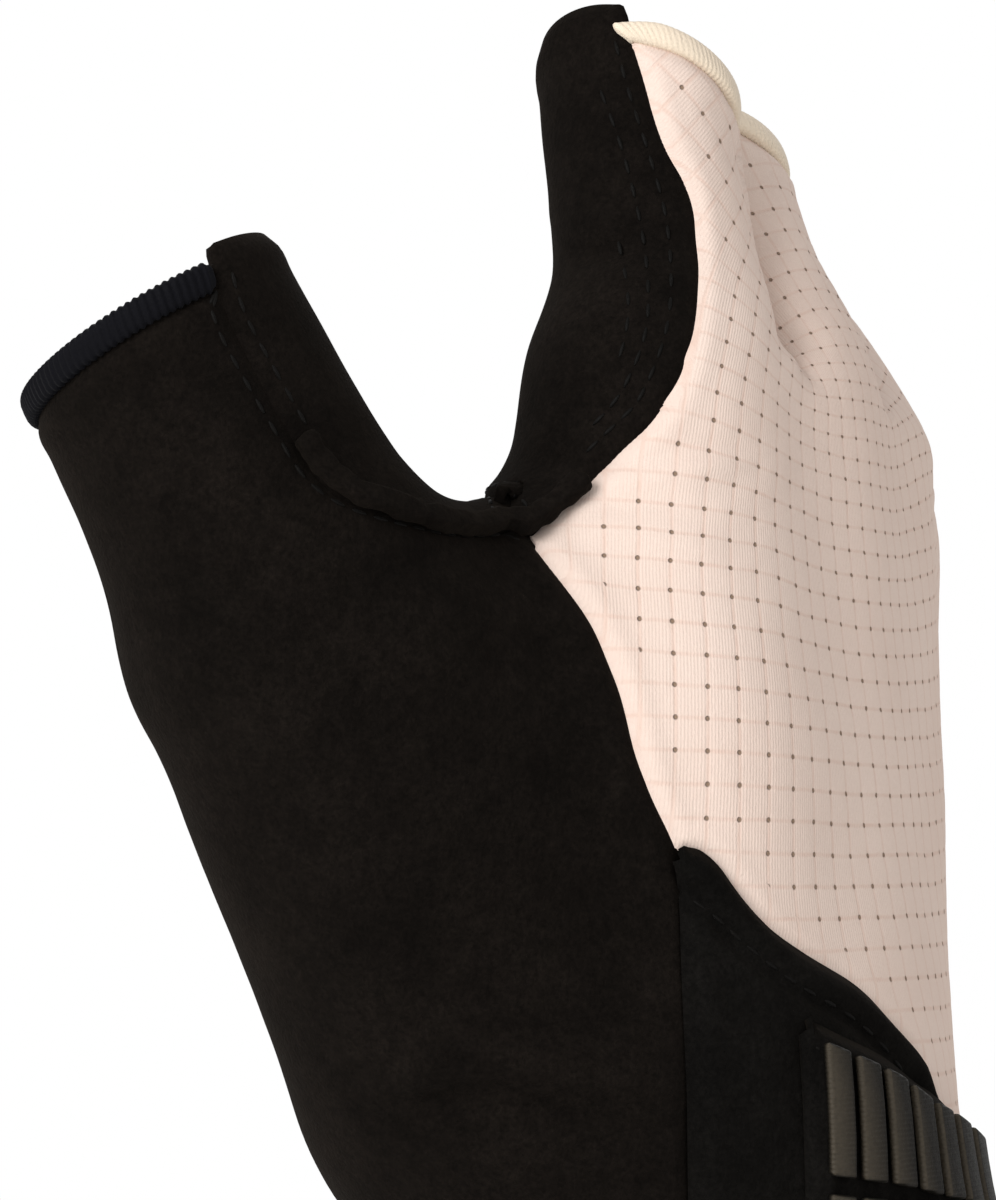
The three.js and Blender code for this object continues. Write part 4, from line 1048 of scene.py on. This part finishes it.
class GLOVE_OT_wrist_band(bpy.types.Operator):
    """Padded wrist band with a rolled upper edge"""

    bl_idname = "glove.wrist_band"
    bl_label = "Wrist band"

    def execute(self, context):
        back = SEAMS["back_panel"]["rim"]

        def relief_at(places):
            away, _ = rim_distance(places, back)
            roll = 0.75 * np.exp(-(((away - 1.6) / 1.3) ** 2))
            groove = -0.6 * np.exp(-(((away - 4.2) / 0.7) ** 2))
            return roll + groove

        piece, _ = cloth_panel("cuff_band", context.scene.glove_sizes.band_wall, 8)
        places = points_of(piece.data)
        places += normals_of(piece.data) * relief_at(places)[:, None]
        set_points(piece.data, places)
        settle_piece(piece, "padding", "cuff_band")
        return {"FINISHED"}


class GLOVE_OT_closure_tab(bpy.types.Operator):
    """Closure tab on the wrist band"""

    bl_idname = "glove.closure_tab"
    bl_label = "Closure tab"

    def execute(self, context):
        def relief(_, away):
            rim = 0.3 * np.exp(-(((away - 1.1) / 0.7) ** 2))
            return rim - 0.2 * np.exp(-(((away - 2.3) / 0.5) ** 2))

        piece, _ = cloth_panel("closure_tab", context.scene.glove_sizes.tab_wall, 11, relief)
        settle_piece(piece, "padding", "closure_tab")
        return {"FINISHED"}


class GLOVE_OT_grip_bars(bpy.types.Operator):
    """Raised silicone bars on the closure tab"""

    bl_idname = "glove.grip_bars"
    bl_label = "Grip bars"

    def execute(self, context):
        for node in sorted(n for n in frame["nodes"] if n.startswith("grip_bar")):
            bm = bmesh.new()
            bm.from_mesh(frame["nodes"][node].data)
            bmesh.ops.remove_doubles(bm, verts=bm.verts, dist=WELD)
            bm.normal_update()
            sharp = [e for e in bm.edges if e.calc_face_angle() > math.radians(50)]
            bmesh.ops.bevel(bm, geom=sharp, offset=0.38 * MM, offset_type="OFFSET", segments=3, profile=0.5,
                            affect="EDGES", material=-1, clamp_overlap=True)
            piece = new_piece(node + "_print", bm)
            for polygon in piece.data.polygons:
                polygon.use_smooth = True
            settle_piece(piece, "grip", node)
        return {"FINISHED"}


class GLOVE_OT_stitching(bpy.types.Operator):
    """Sewing thread along the seams, on the index panel, the band and the tab"""

    bl_idname = "glove.stitching"
    bl_label = "Stitching"

    def execute(self, context):
        sizes = context.scene.glove_sizes
        length, thread, pitch = sizes.stitch_length, sizes.thread, sizes.stitch_pitch / MM
        for node, others in SEWN_TO.items():
            bm = bmesh.new()
            tree = tree_of(bpy.data.objects[node + "_cloth"])
            for row in seam_rows(node, others, 1.6, pitch, tree):
                stitch_row(bm, row, length, thread)
            settle_piece(smooth_thread(node + "_seam_thread", bm), "suede", material="black_thread")
        bm = bmesh.new()
        for line in INDEX_STITCHES.values():
            stitch_row(bm, on_piece(bpy.data.objects["index_panel_cloth"], line, pitch), length, thread)
        settle_piece(smooth_thread("index_panel_stitches", bm), "suede", material="black_thread")
        bm = bmesh.new()
        stitch_row(bm, on_piece(bpy.data.objects["cuff_band_cloth"], BAND_STITCHES, pitch), length, thread)
        stitch_row(bm, on_piece(bpy.data.objects["closure_tab_cloth"], TAB_STITCHES, pitch), length, thread)
        settle_piece(smooth_thread("band_stitches", bm), "padding", material="black_thread")
        return {"FINISHED"}


class GLOVE_OT_cloth_cuts(bpy.types.Operator):
    """An empty step: it leaves the scene as it is"""

    bl_idname = "glove.cloth_cuts"
    bl_label = "Cloth cuts"

    def execute(self, context):
        return {"FINISHED"}


def smooth_thread(name, bm):
    """A piece of stitches with smooth shading."""
    piece = new_piece(name, bm)
    for polygon in piece.data.polygons:
        polygon.use_smooth = True
    return piece


class GLOVE_OT_stage(bpy.types.Operator):
    """Pale floor, soft lights and the camera of the picture"""

    bl_idname = "glove.stage"
    bl_label = "Stage"

    def execute(self, context):
        scene = context.scene
        bm = bmesh.new()
        bmesh.ops.create_circle(bm, cap_ends=True, segments=96, radius=0.6,
                                matrix=Matrix.Translation((0, 0, -0.06)))
        floor = new_piece("floor", bm)
        floor.data.materials.append(floor_material())
        world = bpy.data.worlds.new("white_studio")
        world.use_nodes = True
        sky = world.node_tree.nodes["Background"]
        sky.inputs["Color"].default_value = (1, 1, 1, 1)
        seen = add(world.node_tree, "ShaderNodeLightPath").outputs["Is Camera Ray"]
        strength = add(world.node_tree, "ShaderNodeMapRange", {"Value": seen, "To Min": 0.62, "To Max": 1.0})
        world.node_tree.links.new(strength.outputs["Result"], sky.inputs["Strength"])
        scene.world = world
        scene.view_settings.view_transform = "Standard"
        lights = [
            ("key", (-0.45, -0.6, 0.4), 0.4, 6.0),
            ("fill", (0.1, -0.7, 0.1), 0.6, 1.0),
            ("back", (0.25, 0.6, 0.45), 0.5, 1.0),
        ]
        target = Vector((-0.015, 0.01, 0.07))
        for name, place, width, power in lights:
            data = bpy.data.lights.new(name, "AREA")
            data.size = width
            data.energy = power
            lamp = bpy.data.objects.new(name, data)
            lamp.location = place
            lamp.rotation_euler = (target - Vector(place)).to_track_quat("-Z", "Y").to_euler()
            scene.collection.objects.link(lamp)
        camera = bpy.data.objects.new("camera", bpy.data.cameras.new("camera"))
        camera.data.sensor_width = SENSOR
        camera.data.lens = SENSOR * (PLANE_Y - EYE[1]) / (PICTURE[1] / PIXELS_PER_MM)
        camera.data.clip_start = 0.05
        camera.data.clip_end = 10
        camera.location = Vector(EYE * MM)
        camera.rotation_euler = (math.pi / 2, 0, 0)
        scene.collection.objects.link(camera)
        scene.camera = camera
        return {"FINISHED"}


class GLOVE_PT_panel(bpy.types.Panel):
    """Sizes, colours and pieces of the glove"""

    bl_idname = "GLOVE_PT_panel"
    bl_label = "Cycling Glove"
    bl_space_type = "VIEW_3D"
    bl_region_type = "UI"
    bl_category = "Glove"

    def draw(self, context):
        layout = self.layout
        for group in (context.scene.glove_sizes, context.scene.glove_colours):
            for key in group.bl_rna.properties.keys():
                if key not in ("rna_type", "name"):
                    layout.prop(group, key)
        for operator in OPERATORS:
            layout.operator(operator.bl_idname)


OPERATORS = (
    GLOVE_OT_stage,
    GLOVE_OT_back_panel,
    GLOVE_OT_suede_panels,
    GLOVE_OT_wrist_band,
    GLOVE_OT_closure_tab,
    GLOVE_OT_grip_bars,
    GLOVE_OT_edgings,
    GLOVE_OT_web_seam,
    GLOVE_OT_stitching,
    GLOVE_OT_cloth_cuts,
)
CLASSES = (GloveSizes, GloveColours, *OPERATORS, GLOVE_PT_panel)


def register():
    for item in CLASSES:
        bpy.utils.register_class(item)
    bpy.types.Scene.glove_sizes = PointerProperty(type=GloveSizes)
    bpy.types.Scene.glove_colours = PointerProperty(type=GloveColours)


def unregister():
    del bpy.types.Scene.glove_sizes
    del bpy.types.Scene.glove_colours
    for item in reversed(CLASSES):
        bpy.utils.unregister_class(item)


def main():
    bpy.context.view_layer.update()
    register()
    bpy.ops.glove.stage()
    bpy.ops.glove.back_panel()
    bpy.ops.glove.suede_panels()
    bpy.ops.glove.wrist_band()
    bpy.ops.glove.closure_tab()
    bpy.ops.glove.grip_bars()
    bpy.ops.glove.edgings()
    bpy.ops.glove.web_seam()
    bpy.ops.glove.stitching()
    bpy.ops.glove.cloth_cuts()


if __name__ == "__main__":
    main()
